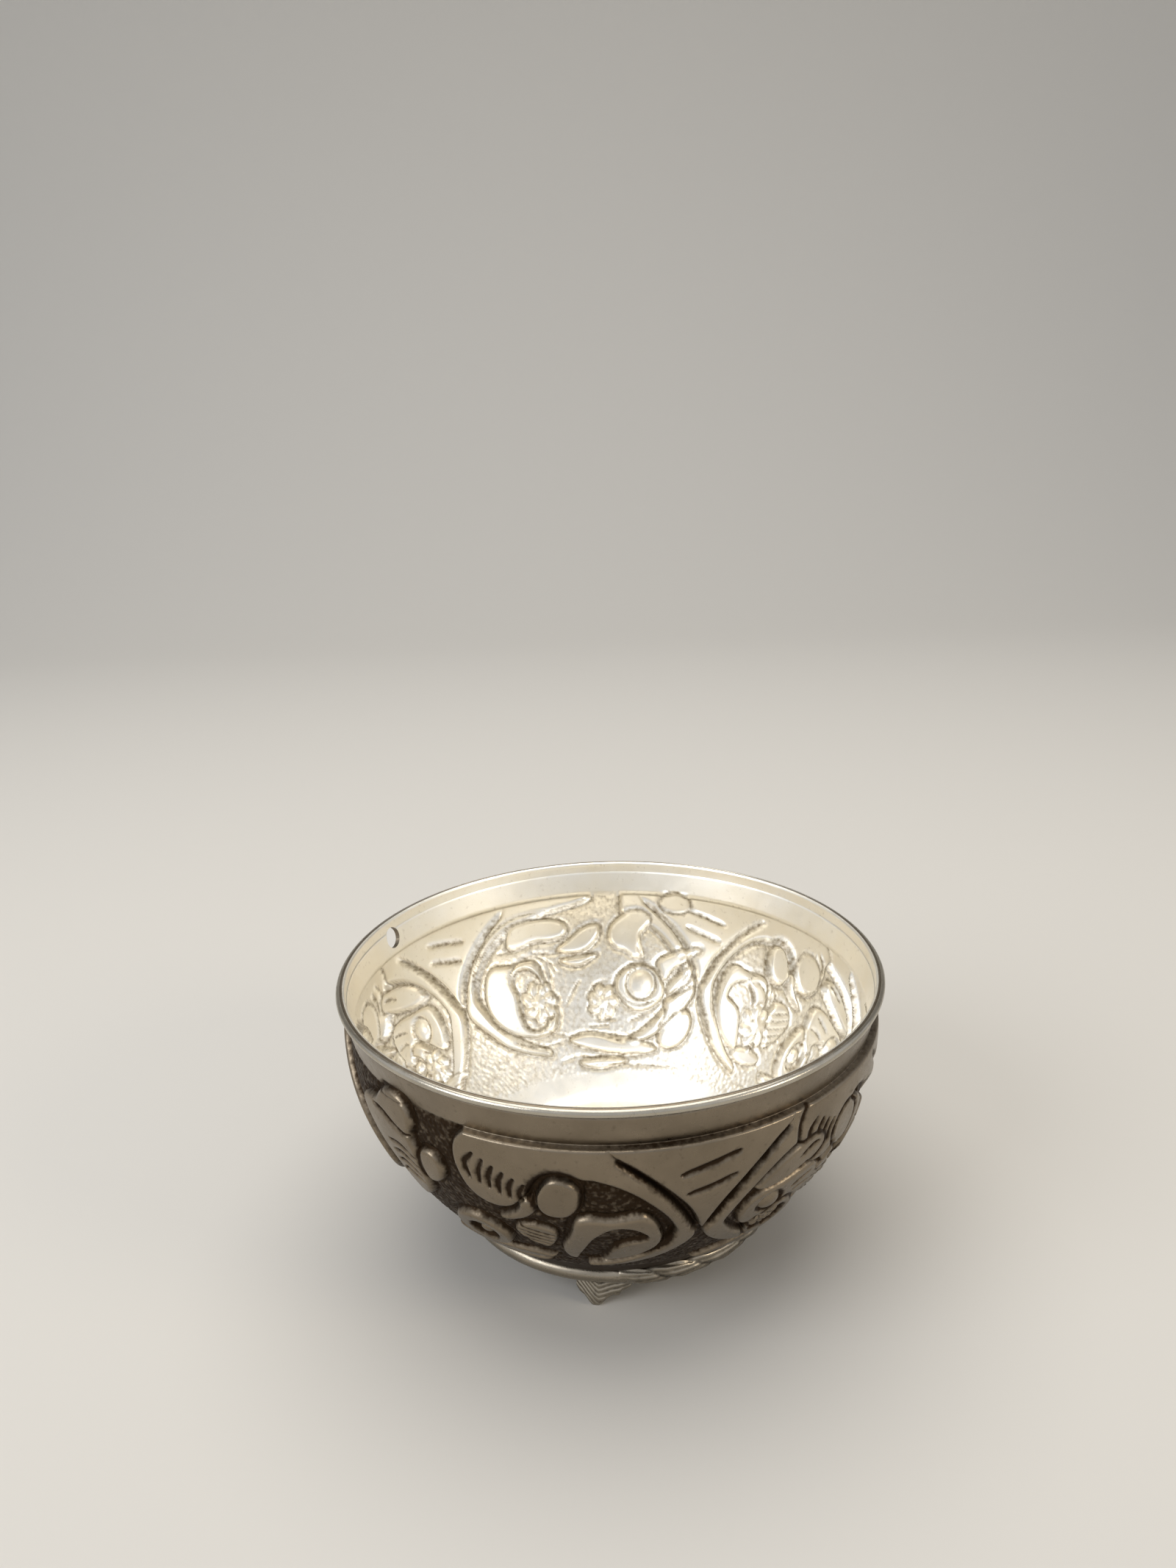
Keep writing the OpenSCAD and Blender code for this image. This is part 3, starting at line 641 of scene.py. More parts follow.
def punched(radius, pitch=0.84, reach=38, seed=7):
    """Distance to the nearest of the small round marks of the ground, which stand in
    rows a pitch apart, each moved a little from its place."""
    rng = np.random.default_rng(seed)
    step = pitch * 0.87
    rows = int(reach / step)
    row_radius = np.interp(np.arange(rows) * step, DOWN, radius)
    count = np.round(2 * np.pi * row_radius / pitch).astype(int)
    loose = rng.uniform(-0.34, 0.34, (2, rows, count.max()))
    best = np.full((len(DOWN), COLUMNS), 9.0)
    near = np.clip(np.round(DOWN / step).astype(int), 1, rows - 2)
    for k in (near - 1, near, near + 1):
        n = count[k][:, None]
        slot = np.round(AZIMUTH[None] / 360 * n - 0.5 * (k[:, None] % 2)).astype(int)
        for c in (slot - 1, slot, slot + 1):
            i = k[:, None], c % n
            where = (c + 0.5 * (k[:, None] % 2) + loose[0][i]) * 360 / n
            dx = ((AZIMUTH[None] - where + 180) % 360 - 180) * np.pi / 180 * radius[:, None]
            dy = DOWN[:, None] - k[:, None] * step - loose[1][i] * step
            best = np.minimum(best, np.hypot(dx, dy))
    return best


def blurred(field, sigma):
    """Each value as the mean of those round it, weighted by a bell curve of so many
    cells. Columns run round the bowl and rows stop at the ends."""
    reach = int(3 * sigma) + 1
    w = np.exp(-0.5 * (np.arange(-reach, reach + 1) / sigma) ** 2)
    w /= w.sum()
    padded = np.pad(field, ((reach, reach), (0, 0)), mode="edge")
    field = sum(k * padded[i:i + len(field)] for i, k in enumerate(w))
    return sum(k * np.roll(field, i - reach, 1) for i, k in enumerate(w))


def painted_shade_above_bead(o):
    """Painted shade in the narrow strip between the last forms and the bead. It starts higher at the front,
    where the forms stand closer together."""
    front = smooth((80 - np.abs((AZIMUTH + 188) % 360 - 180)) / 25)
    depth = DOWN[:, None] - (34.3 - 3.6 * front[None])
    o.dark = np.maximum(o.dark, 0.95 * smooth(depth / 0.8) * (DOWN[:, None] < WALL_LONG))
    o.ground &= depth < 0.3


def relief():
    """Height of the outer face over its ground, height of the inner face over the sheet's
    inside, and how dark each of the two is."""
    o = draw_ornament()
    lines = o.dark.copy()
    # Painted shade in the strip above the bead, on the outer face only
    painted_shade_above_bead(o)
    marks = np.exp(-(punched(OUTER[:, 0]) / 0.27) ** 4)
    ground = blurred(o.ground.astype(float), 0.8)
    # The fine line under the band, which the forms hide where they cross it
    free = 1 - smooth((o.height - 0.3) / 0.3) * (DOWN[:, None] < 0)
    line = np.exp(-((DOWN - 0.05) / 0.2) ** 2)[:, None] * free
    wander = 0.55 + 0.25 * np.sin(np.radians(AZIMUTH) * 5 + 0.4) + 0.1 * np.sin(np.radians(AZIMUTH) * 13)
    # A dark line along the seam where the lip's wire is soldered on
    seam = 0.85 * np.exp(-((DOWN + BAND_HIGH - WIRE_HIGH) / 0.16) ** 2)[:, None]
    dull = np.maximum(seam, ground * (0.8 - 0.16 * marks))
    dark = np.maximum(np.maximum(o.dark, line * wander[None]), dull)
    height = o.height + ground * 0.13 * marks
    outer = blurred(height, 0.6) - np.maximum(o.line, 0.14 * line)
    inner = blurred(height - 1.1 * o.line, 0.9)
    return outer, inner, np.clip(dark, 0, 1), 0.55 * np.maximum(lines, 0.35 * ground)


# Meshes

def stitched(fine, coarse, flip=False):
    """Five-sided faces that join a row of points to one with half as many spans."""
    f = np.stack([fine[:-1:2], fine[1::2], fine[2::2], coarse[1:], coarse[:-1]], -1)
    return (f[:, ::-1] if flip else f).tolist()


def grid_faces(rows, columns, start=0, flip=False, keep=None):
    """Four-sided faces of a grid of points that is numbered row by row."""
    i, j = np.mgrid[:rows - 1, :columns - 1]
    a = start + i * columns + j
    f = np.stack([a, a + columns, a + columns + 1, a + 1], -1)
    f = f[keep] if keep is not None else f.reshape(-1, 4)
    return (f[:, ::-1] if flip else f).tolist()


def grid_normals(points):
    """Unit normals of a grid of points that closes on itself along its columns."""
    across = np.roll(points, -1, 1) - np.roll(points, 1, 1)
    down = np.gradient(points, axis=0)
    n = np.cross(down, across)
    return n / np.linalg.norm(n, axis=-1, keepdims=True)


def new_piece(name, points, faces, materials, replaces, dark=None, face_materials=None):
    """Puts a mesh in the scene. Points are in millimetres."""
    mesh = bpy.data.meshes.new(name)
    mesh.from_pydata((points * MM).tolist(), [], faces)
    mesh.polygons.foreach_set("use_smooth", np.ones(len(mesh.polygons), bool))
    for m in materials:
        mesh.materials.append(m)
    if face_materials is not None:
        mesh.polygons.foreach_set("material_index", face_materials)
    if dark is not None:
        # Tarnish, and on the wall and the feet also painted shade, as a point attribute
        layer = mesh.attributes.new("tarnish", "FLOAT", "POINT")
        layer.data.foreach_set("value", dark.astype(np.float32))
    mesh.update()
    piece = bpy.data.objects.new(name, mesh)
    bpy.context.scene.collection.objects.link(piece)
    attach(piece, "root")
    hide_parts(*replaces)
    return piece


def set_normals(mesh, normals, shared):
    """Gives the first faces, so many as are shared, the normals of their points. The
    others, which are cut ends and the hole's wall, keep their own flat normals."""
    corner = np.empty(len(mesh.loops), np.int32)
    mesh.loops.foreach_get("vertex_index", corner)
    loops = normals[corner]
    flat = np.empty(len(mesh.polygons) * 3)
    mesh.polygons.foreach_get("normal", flat)
    size = np.empty(len(mesh.polygons), np.int32)
    mesh.polygons.foreach_get("loop_total", size)
    own = np.repeat(np.arange(len(size)) >= shared, size)
    loops[own] = np.repeat(flat.reshape(-1, 3), size, axis=0)[own]
    mesh.normals_split_custom_set(loops.tolist())


def band_normals(points, profile):
    """Normals of the plain rows of the band, from the profile alone."""
    r = np.hypot(points[..., 0], points[..., 1])
    level = profile[:, None, :1] * points[..., :2] / r[..., None]
    return np.concatenate([level, np.broadcast_to(profile[:, None, 1:], (*r.shape, 1))], -1)


def drilled(azimuth, r, z, cells, side):
    """Moves the points round the hole so that a square of cells, so many each way from
    its middle, opens to a circle. The move fades out within the plain band. The hole is
    square to the leaning band, so its middle lies lower on the outer side, which is 1,
    than on the inner, which is -1."""
    coarser = HOLE_CELLS // cells
    row, column = HOLE_ROW // coarser, HOLE_COLUMN // coarser
    i = np.arange(z.shape[0])[:, None] - row
    j = np.arange(z.shape[1])[None] - column
    near = (np.abs(i) <= 2 * cells) & (np.abs(j) <= 2 * cells)
    m = np.maximum(np.abs(i), np.abs(j)) / cells
    tilt = np.arctan(LEAN_SLOPE)
    arc = r * np.pi / 180
    a = (azimuth - HOLE_AZIMUTH) * arc
    b = (z - LIP_Z + HOLE_DROP + side * SHEET / 2 * np.cos(tilt) * np.sin(tilt)) / np.cos(tilt)
    q = np.maximum(m, 1)
    size = np.maximum(np.hypot(a, b) / q, 1e-6)
    above_line = np.clip((1.25 * cells - i) / (0.25 * cells), 0, 1)
    grow = (HOLE_R / size - 1) / q * (1 - smooth((m - 1) / 0.7)) * above_line
    grow = np.where(near & (m >= 0.99), grow, 0)
    rise = b * grow * np.cos(tilt)
    return azimuth + a * grow / arc, r + LEAN_SLOPE * rise, z + rise


def sheet_points(face, azimuth, cells, side):
    """Points round the bowl from the radius and height of each, with the hole opened."""
    azimuth, r, z = drilled(azimuth, face[..., 0], face[..., 1], cells, side)
    a = np.radians(azimuth)
    return np.stack([r * np.sin(a), -r * np.cos(a), z], -1)


def wall_sheet():
    """The outer and the inner face of the sheet as two grids, the outer one's relief, and
    how dark each is. The inner grid has half as many rows and columns."""
    outer_h, inner_h, dark, inner_dark = relief()
    azimuth = np.broadcast_to(AZIMUTH, outer_h.shape)
    face = OUTER[:, None] + OUTER_N[:, None] * outer_h[..., None]
    face[..., 0] = np.minimum(face[..., 0], WIRE_R - 0.03)
    outer = sheet_points(face, azimuth, HOLE_CELLS, 1)
    # Inside, the lip turns over to the other side and the wall rounds into the floor
    back = OUTER - OUTER_N * SHEET
    back[:LIP_ROWS] = lip_curve(92, 180)[0]
    band = (DOWN < 0) & (OUTER[:, 1] <= LIP_Z - SHEET / 2)
    back[band, 0] = band_radius(OUTER[band, 1]) - SHEET
    under = DOWN > WALL_LONG
    corner = back[~under][-1]
    back[under, 0] = np.interp(DOWN[under], (WALL_LONG, DOWN[-1]), (corner[0], FLOOR_SEAM_R))
    slope = back[:, 1].copy()
    slope[under] = corner[1] - 0.9 * (corner[0] - back[under, 0])
    top = FLOOR_Z + SHEET
    low = DOWN > 20
    back[low, 1] = (slope + top + np.sqrt((slope - top) ** 2 + 0.9))[low] / 2
    back[-1, 1] = top
    fade = smooth((WALL_LONG - 1 - DOWN) / 4)[:, None]
    hidden = np.where(DOWN < -0.5, 0, 1)[:, None]
    inner_face = back[:, None] + OUTER_N[:, None] * (inner_h * fade * hidden)[..., None]
    inner_face = inner_face[::2, ::2]
    half = azimuth[::2, ::2]
    inner = sheet_points(inner_face, half, HOLE_CELLS // 2, -1)
    return outer, inner, outer_h, dark, inner_dark[::2, ::2]


def hole_faces(ids, ids_in, column):
    """Which cells of a panel's two grids the hole leaves, and the faces of the hole's
    wall between them, where the panel holds the hole."""
    c, g = HOLE_CELLS, HOLE_CELLS // 2
    if not c < column < ids.shape[1] - 1 - c:
        return None, None, []
    h, k = HOLE_ROW // 2, column // 2
    keep = np.ones((ids.shape[0] - 1, ids.shape[1] - 1), bool)
    keep[HOLE_ROW - c:HOLE_ROW + c, column - c:column + c] = False
    keep_in = np.ones((ids_in.shape[0] - 1, ids_in.shape[1] - 1), bool)
    keep_in[h - g:h + g, k - g:k + g] = False
    fine = ids[HOLE_ROW - c:HOLE_ROW + c + 1, column - c:column + c + 1]
    coarse = ids_in[h - g:h + g + 1, k - g:k + g + 1]
    wall = stitched(fine[0], coarse[0], True) + stitched(fine[-1], coarse[-1], False)
    wall += stitched(fine[:, 0], coarse[:, 0], False) + stitched(fine[:, -1], coarse[:, -1], True)
    return keep, keep_in, wall


def wall_panel(number, outer, inner, outer_n, inner_n, dark, inner_dark, materials):
    """One of the panels that the wall is made of: a closed length of the sheet."""
    span = COLUMNS // PANELS
    first = round(PANELS_FROM * COLUMNS / 360) + number * span
    cols = np.arange(first, first + span + 1) % COLUMNS
    half = np.arange(first // 2, first // 2 + span // 2 + 1) % (COLUMNS // 2)
    a, b = outer[:, cols], inner[:, half]
    ids = np.arange(a[..., 0].size).reshape(a.shape[:2])
    ids_in = ids.size + np.arange(b[..., 0].size).reshape(b.shape[:2])
    keep, keep_in, hole_wall = hole_faces(ids, ids_in, HOLE_COLUMN - first)
    out = grid_faces(*a.shape[:2], 0, False, keep)
    back = grid_faces(*b.shape[:2], ids.size, True, keep_in)
    rim = stitched(ids[0], ids_in[0], False)
    ends = stitched(ids[-1], ids_in[-1], True)
    ends += stitched(ids[:, 0], ids_in[:, 0], True) + stitched(ids[:, -1], ids_in[:, -1], False)
    faces = out + back + rim + ends + hole_wall
    index = np.zeros(len(faces), np.int32)
    index[len(out):len(out) + len(back)] = 1
    points = np.concatenate([a.reshape(-1, 3), b.reshape(-1, 3)])
    tone = np.concatenate([dark[:, cols].ravel(), inner_dark[:, half].ravel()])
    normals = np.concatenate([outer_n[:, cols].reshape(-1, 3), inner_n[:, half].reshape(-1, 3)])
    name = f"wall_panel_{number + 1}"
    piece = new_piece(name, points, faces, materials, ["bowl_shell"], tone, index)
    set_normals(piece.data, normals, len(out) + len(back) + len(rim))


def revolved(name, rows, columns, height, materials, replaces, dark=None, closed=True):
    """A profile turned round the bowl's axis. Rows hold radius and height, and height
    is a function that moves them at each azimuth. The profile closes on itself, or ends
    on the axis at both ends."""
    a = np.arange(columns) * 2 * np.pi / columns
    r, z = height(rows[:, None, 0], rows[:, None, 1], a[None])
    points = np.stack([r * np.sin(a), -r * np.cos(a), z + 0 * a], -1)
    n = len(rows)
    i = np.arange(n if closed else n - 1)[:, None]
    j = np.arange(columns)[None]
    below, beside = (i + 1) % n * columns, (j + 1) % columns
    i = i * columns
    faces = np.stack([i + j, below + j, below + beside, i + beside], -1).reshape(-1, 4).tolist()
    points = points.reshape(-1, 3)
    if not closed:
        ends = np.array([(0, 0, points[at, 2].mean()) for at in (slice(columns), slice(-columns, None))])
        last = (n - 1) * columns
        ring = np.arange(columns)
        turn = np.roll(ring, -1)
        faces += np.stack([np.full(columns, len(points)), ring, turn], -1).tolist()
        faces += np.stack([last + turn, last + ring, np.full(columns, len(points) + 1)], -1).tolist()
        points = np.concatenate([points, ends])
    tone = None
    if dark is not None:
        tone = dark(rows[:, None, 0], rows[:, None, 1], a[None]).ravel()
        tone = np.concatenate([tone, np.zeros(len(points) - len(tone))])
    return new_piece(name, points, faces, materials, replaces, tone)


# The lower edge of a foot, as distance to the right and height: a wing, the toe between
# two curves, and a leaf that steps up to the bead
FOOT_EDGE = (
    (-3.4, 2.9), (-2.9, 2.1), (-2.1, 1.5), (-1.4, 0.5), (-0.9, 0), (0, 0), (0.6, 0.5), (1.3, 1.3),
    (2.2, 1.8), (3.1, 1.8), (3.5, 2.5), (4.2, 2.8), (4.8, 3), (5.2, 3.9),
)


def foot():
    """The foot at azimuth nought: a plate with a crest along its toe, whose front is
    ridged on the slant by a sine of height and width."""
    edge = np.array(FOOT_EDGE)
    x = np.linspace(edge[0, 0], edge[-1, 0], 87)[None]
    low = np.interp(x, edge[:, 0], edge[:, 1])
    v = np.linspace(0, 1, 41)[:, None]
    z = low + (BEAD_Z - low) * v
    crest = np.exp(-((x + 0.4) / 1.7) ** 2)
    tip = smooth((z - low) / 0.5)
    # Veins run down to the toe from the left and along the leaf at the right
    slant = z + 0.8 * np.minimum(x, 0) - 0.3 * np.sqrt(x**2 + 0.6)
    ridges = 0.05 * np.sin(2 * np.pi * slant / 0.75)
    leaf = 0.25 * np.exp(-((x - 3.4) / 1.1) ** 2)
    back_lean = 0.75 * smooth(z / BEAD_Z)
    front = 0.7 - back_lean + (0.5 * crest + leaf + ridges) * (0.3 + 0.7 * tip)
    back = np.broadcast_to(-0.75 - 0.3 * crest, z.shape)
    y = -np.sqrt(FOOT_R**2 - x**2)
    grids = [np.stack([x + 0 * z, y - f, z], -1) for f in (front, back)]
    rows, cols = z.shape
    n = rows * cols
    faces = grid_faces(rows, cols, 0, True) + grid_faces(rows, cols, n, False)
    ids = np.arange(n).reshape(rows, cols)
    loop = np.concatenate([ids[0, :-1], ids[:-1, -1], ids[-1, :0:-1], ids[:0:-1, 0]])
    following = np.roll(loop, -1)
    faces += np.stack([loop, loop + n, following + n, following], -1).tolist()
    points = np.concatenate([g.reshape(-1, 3) for g in grids])
    # Tarnish in the hollows of the ridges, and painted shadow of the bead over the foot's upper part
    shade = 0.4 * np.clip(-ridges / 0.05, 0, 1) + 0.7 * smooth((z - 3.4) / 1.6)
    tone = np.concatenate([np.clip(shade, 0, 1).ravel(), np.zeros(n)])
    return points, faces, tone


# Materials

def node(tree, kind, links=(), **settings):
    """Adds a node. Settings whose name is a socket's, with its spaces as underscores, set
    that socket, and others set the node. Links pair a socket with what feeds it."""
    n = tree.nodes.new(kind)
    for key, value in settings.items():
        if hasattr(n, key):
            setattr(n, key, value)
        else:
            n.inputs[key.replace("_", " ")].default_value = value
    for socket, source in links:
        tree.links.new(source, n.inputs[socket])
    return n


def noise(tree, place, scale, detail, rough=0.5):
    """Cloudy noise over the object, about nought to one."""
    return node(tree, "ShaderNodeTexNoise", [("Vector", place)],
                Scale=scale, Detail=detail, Roughness=rough).outputs["Fac"]


def ranged(tree, value, low, high, least=0.0, most=1.0):
    """A value carried over from one range to another."""
    return node(tree, "ShaderNodeMapRange", [("Value", value)],
                From_Min=low, From_Max=high, To_Min=least, To_Max=most).outputs["Result"]


def silver(name, colour, worn, black, rough, spread):
    """Silver, with a satin face from fine scratches, darker by its tarnish attribute: tarnish left in chased
    lines and punched ground, and on some pieces painted shade. Its reflections blur as its roughness rises."""
    material = bpy.data.materials.new(name)
    material.use_nodes = True
    tree = material.node_tree
    tree.nodes.clear()
    place = node(tree, "ShaderNodeTexCoord").outputs["Object"]
    # The tarnish attribute also holds painted shade: the strip above the bead on the wall, and the bead's
    # shadow on the feet
    tarnish = node(tree, "ShaderNodeAttribute", attribute_name="tarnish").outputs["Fac"]
    # Clouds of thin tarnish, about 9 mm across
    thin = ranged(tree, noise(tree, place, 110.0, 4.0, 0.55), 0.35, 0.75, 0.0, spread)
    tone = node(tree, "ShaderNodeMix", [("Factor", thin)], data_type="RGBA")
    tone.inputs[6].default_value = (*colour, 1)
    tone.inputs[7].default_value = (*worn, 1)
    # The dark left by polishing breaks up at the edges of the lines, at 0.8 mm
    speck = noise(tree, place, 1200.0, 3.0)
    edge = node(tree, "ShaderNodeMath", [(0, speck), (1, tarnish)], operation="ADD").outputs[0]
    deep = ranged(tree, edge, 0.62, 1.25)
    mix = node(tree, "ShaderNodeMix", [("Factor", deep), (6, tone.outputs[2])], data_type="RGBA")
    mix.inputs[7].default_value = (*black, 1)
    # Rubbing marks, fine enough to blur the reflections without drawing lines
    gloss = ranged(tree, noise(tree, place, 600.0, 5.0, 0.7), 0.3, 0.7, rough - 0.06, rough + 0.08)
    matt = node(tree, "ShaderNodeMath", [(0, deep), (2, gloss)], operation="MULTIPLY_ADD")
    matt.inputs[1].default_value = 0.3
    # Hammer marks about 3 mm apart and satin grain of 0.25 mm
    hammer = node(tree, "ShaderNodeTexVoronoi", [("Vector", place)],
                  Scale=330.0, feature="SMOOTH_F1").outputs["Distance"]
    grain = noise(tree, place, 4000.0, 2.0)
    bump = node(tree, "ShaderNodeBump", [("Height", hammer)], Strength=0.12, Distance=0.0004)
    bump = node(tree, "ShaderNodeBump", [("Height", grain), ("Normal", bump.outputs["Normal"])],
                Strength=0.25, Distance=0.00004)
    shader = node(tree, "ShaderNodeBsdfPrincipled", [
        ("Base Color", mix.outputs[2]), ("Roughness", matt.outputs[0]), ("Normal", bump.outputs["Normal"]),
    ], Metallic=1.0)
    node(tree, "ShaderNodeOutputMaterial", [("Surface", shader.outputs[0])])
    return material


def stage_material(name, colour):
    """Matt paper, the plain floor of the stage."""
    material = bpy.data.materials.new(name)
    material.use_nodes = True
    shader = material.node_tree.nodes["Principled BSDF"]
    shader.inputs["Base Color"].default_value = (*colour, 1)
    shader.inputs["Roughness"].default_value = 0.9
    shader.inputs["Specular IOR Level"].default_value = 0.2
    return material


# The stage

def paper_floor(scene):
    """Paper that lies flat and sweeps up at the back, as a quarter circle, in metres."""
    half = scene.bowl_sizes.floor_size / 2
    sweep, top = 0.4, 1.6
    t = np.linspace(0, np.pi / 2, 24)
    y = np.concatenate([[-half], half * 0.6 + sweep * np.sin(t), [half * 0.6 + sweep]])
    z = np.concatenate([[0], sweep - sweep * np.cos(t), [top]])
    points = np.concatenate([np.stack([np.full_like(y, s * 2 * half), y, z], -1) for s in (-1, 1)])
    n = len(y)
    k = np.arange(n - 1)
    mesh = bpy.data.meshes.new("paper_floor")
    mesh.from_pydata(points.tolist(), [], np.stack([k, k + n, k + n + 1, k + 1], -1).tolist())
    mesh.polygons.foreach_set("use_smooth", np.ones(n - 1, bool))
    mesh.materials.append(stage_material("paper, matt", scene.bowl_colours.paper))
    paper = bpy.data.objects.new("paper_floor", mesh)
    scene.collection.objects.link(paper)


# Name, place, aim, width, watts and tint of each lamp, in metres
LAMPS = (
    ("lamp_over", (-0.02, 0.08, 0.62), (0, 0.01, 0.02), 0.7, 2.6, (1, 0.96, 0.9)),
    ("lamp_left", (-0.7, -0.45, 0.55), (0, 0, 0.02), 0.6, 3.5, (0.95, 0.97, 1)),
    ("lamp_right", (0.6, -0.3, 0.35), (0, 0, 0.02), 0.25, 1.0, (1, 0.88, 0.7)),
)


def hang_lamps(scene):
    """Soft round lamps, turned to the bowl."""
    for name, place, aim, size, power, tint in LAMPS:
        lamp = bpy.data.lights.new(name, "AREA")
        lamp.shape, lamp.size, lamp.energy, lamp.color = "DISK", size, power, tint
        holder = bpy.data.objects.new(name, lamp)
        holder.location = place
        holder.rotation_euler = (Vector(aim) - Vector(place)).to_track_quat("-Z", "Y").to_euler()
        scene.collection.objects.link(holder)


def light_room(scene):
    """A plain pale room. Silver mirrors it, and the camera sees it, brighter than it
    lights the object, so that the light stays plain."""
    world = scene.world or bpy.data.worlds.new("studio")
    scene.world = world
    world.use_nodes = True
    tree = world.node_tree
    sky = tree.nodes["Background"]
    sky.inputs["Color"].default_value = (0.82, 0.84, 0.88, 1)
    path = node(tree, "ShaderNodeLightPath").outputs
    seen = node(tree, "ShaderNodeMath", [(0, path["Is Glossy Ray"]), (1, path["Is Camera Ray"])],
                operation="MAXIMUM").outputs[0]
    tree.links.new(ranged(tree, seen, 0.0, 1.0, 0.4, 0.85), sky.inputs["Strength"])


# The photograph's camera, fitted to the ellipse of the lip: its place in metres, its
# lens for a picture 36 mm high, and how many degrees it tilts down and rolls
CAMERA_AT = (-0.00238, -0.1726, 0.1314)
CAMERA_LENS = 27.7
CAMERA_TILT, CAMERA_ROLL = 18.023, -1.854


def place_camera(scene):
    """Puts the camera where the photograph was taken from."""
    camera = bpy.data.cameras.new("camera")
    camera.sensor_fit, camera.sensor_height, camera.lens = "VERTICAL", 36.0, CAMERA_LENS
    camera.clip_start = 0.01
    eye = bpy.data.objects.new("camera", camera)
    tilt, roll = np.radians(CAMERA_TILT), np.radians(CAMERA_ROLL)
    right, up = Vector((1, 0, 0)), Vector((0, np.sin(tilt), np.cos(tilt)))
    ahead = Vector((0, np.cos(tilt), -np.sin(tilt)))
    right, up = right * np.cos(roll) + up * np.sin(roll), up * np.cos(roll) - right * np.sin(roll)
    turn = Matrix((right, up, -ahead)).transposed()
    eye.matrix_world = Matrix.Translation(CAMERA_AT) @ turn.to_4x4()
    scene.collection.objects.link(eye)
    scene.camera = eye


# The add-on

class BowlSizes(PropertyGroup):
    medallion_d: FloatProperty(
        name="Medallion", description="Diameter of the raised border on the floor",
        default=31 * MM, unit="LENGTH")
    medallion_h: FloatProperty(
        name="Border height", description="How far that border stands up",
        default=0.4 * MM, unit="LENGTH")
    lobes: IntProperty(
        name="Lobes", description="Lobes of the line inside the border",
        default=12, min=4)
    floor_size: FloatProperty(
        name="Stage", description="Width of the floor that the bowl stands on",
        default=1.6, unit="LENGTH")


class BowlColours(PropertyGroup):
    # Painted shade: the outside's silver is the darker, shaded copy of the one silver that the inside has
    # lit
    outside: FloatVectorProperty(
        name="Outside", description="Silver of the outside, darkened as painted shade",
        default=linear("#877b6a"), subtype="COLOR")
    # Painted light: the inside's silver is the bright, lit copy of that silver
    inside: FloatVectorProperty(
        name="Inside", description="Bright silver of the inside, in painted light",
        default=linear("#faf6ec"), subtype="COLOR")
    worn: FloatVectorProperty(
        name="Worn", description="Silver under a thin tarnish",
        default=linear("#63594a"), subtype="COLOR")
    black: FloatVectorProperty(
        name="Lines", description="Tarnish in the chased lines",
        default=linear("#33271b"), subtype="COLOR")
    paper: FloatVectorProperty(
        name="Floor", description="Paper of the floor",
        default=linear("#d8d5cf"), subtype="COLOR")


class OFFERING_OT_wall(Operator):
    """Raises the wall in its five panels, embossed and chased"""
    bl_idname = "offering.wall"
    bl_label = "Wall"

    def execute(self, context):
        c = context.scene.bowl_colours
        # One silver in two copies: painted shade on the outside, painted light on the inside, whose worn and
        # line colours are lit copies too
        outside = silver("silver, raised and chased, in painted shade", c.outside, c.worn, c.black, rough=0.3, spread=0.55)
        inside = silver(
            "silver, reverse of the embossing, in painted light",
            c.inside, linear("#efe4cb"), linear("#8f8066"), rough=0.36, spread=0.4)
        outer, inner, height, dark, inner_dark = wall_sheet()
        outer_n, inner_n = grid_normals(outer), -grid_normals(inner)
        # Where nothing rises into the band, its normals come from the profile alone
        top = slice(0, LIP_ROWS + BAND_ROWS - 2)
        plain = (blurred(np.abs(height), 1.5)[top] < 0.01)[..., None]
        outer_n[top] = np.where(plain, band_normals(outer[top], OUTER_N[top]), outer_n[top])
        for k in range(PANELS):
            wall_panel(k, outer, inner, outer_n, inner_n, dark, inner_dark, [outside, inside])
        return {"FINISHED"}


class OFFERING_OT_floor(Operator):
    """Lays the floor with its raised border and the lobed line inside it"""
    bl_idname = "offering.floor"
    bl_label = "Floor"

    def execute(self, context):
        s = context.scene.bowl_sizes
        ring, high, lobes = s.medallion_d / 2 / MM, s.medallion_h / MM, s.lobes
        top, under = FLOOR_Z + SHEET, FLOOR_Z
        r = np.concatenate([
            np.linspace(0.25, 12, 48), np.linspace(12.1, FLOOR_SEAM_R - 0.01, 60), [FLOOR_SEAM_R]])
        rows = np.concatenate([
            np.stack([r, np.full_like(r, top)], -1),
            np.stack([r[::-6], np.full_like(r[::-6], under)], -1)])

        def lobed(a):
            """Radius of the lobed line."""
            return 12.6 - 1.1 * np.abs(np.sin(lobes / 2 * a)) ** 0.7

        def shape(r, z, a):
            """A half-round border, a lobed line inside it and a low dome in the middle."""
            upper = z > (top + under) / 2
            bead = high * np.sqrt(np.clip(1 - ((r - ring) / 0.6) ** 2, 0, 1))
            line = 0.22 * np.exp(-((r - lobed(a)) / 0.28) ** 2)
            petal = 0.18 * np.abs(np.sin(lobes / 2 * a)) * smooth((r - 6) / 3) * smooth((lobed(a) - r) / 0.8)
            dome = 0.3 * smooth(1 - r / 6)
            return r + 0 * a, np.where(upper, z + bead - line + petal + dome, z)

        def tone(r, z, a):
            """Tarnish in the lobed line and along both sides of the border."""
            beside = np.exp(-((np.abs(r - ring) - 0.75) / 0.2) ** 2)
            groove = np.exp(-((r - lobed(a)) / 0.3) ** 2) + 0.6 * beside
            return np.clip(0.5 * groove, 0, 1) * (z > (top + under) / 2)

        # The floor takes the inside's silver, with its painted light
        inside = bpy.data.materials["silver, reverse of the embossing, in painted light"]
        revolved(
            "bowl_floor", rows, 480, shape, [inside], ["bowl_shell"], tone,
            closed=False)
        return {"FINISHED"}


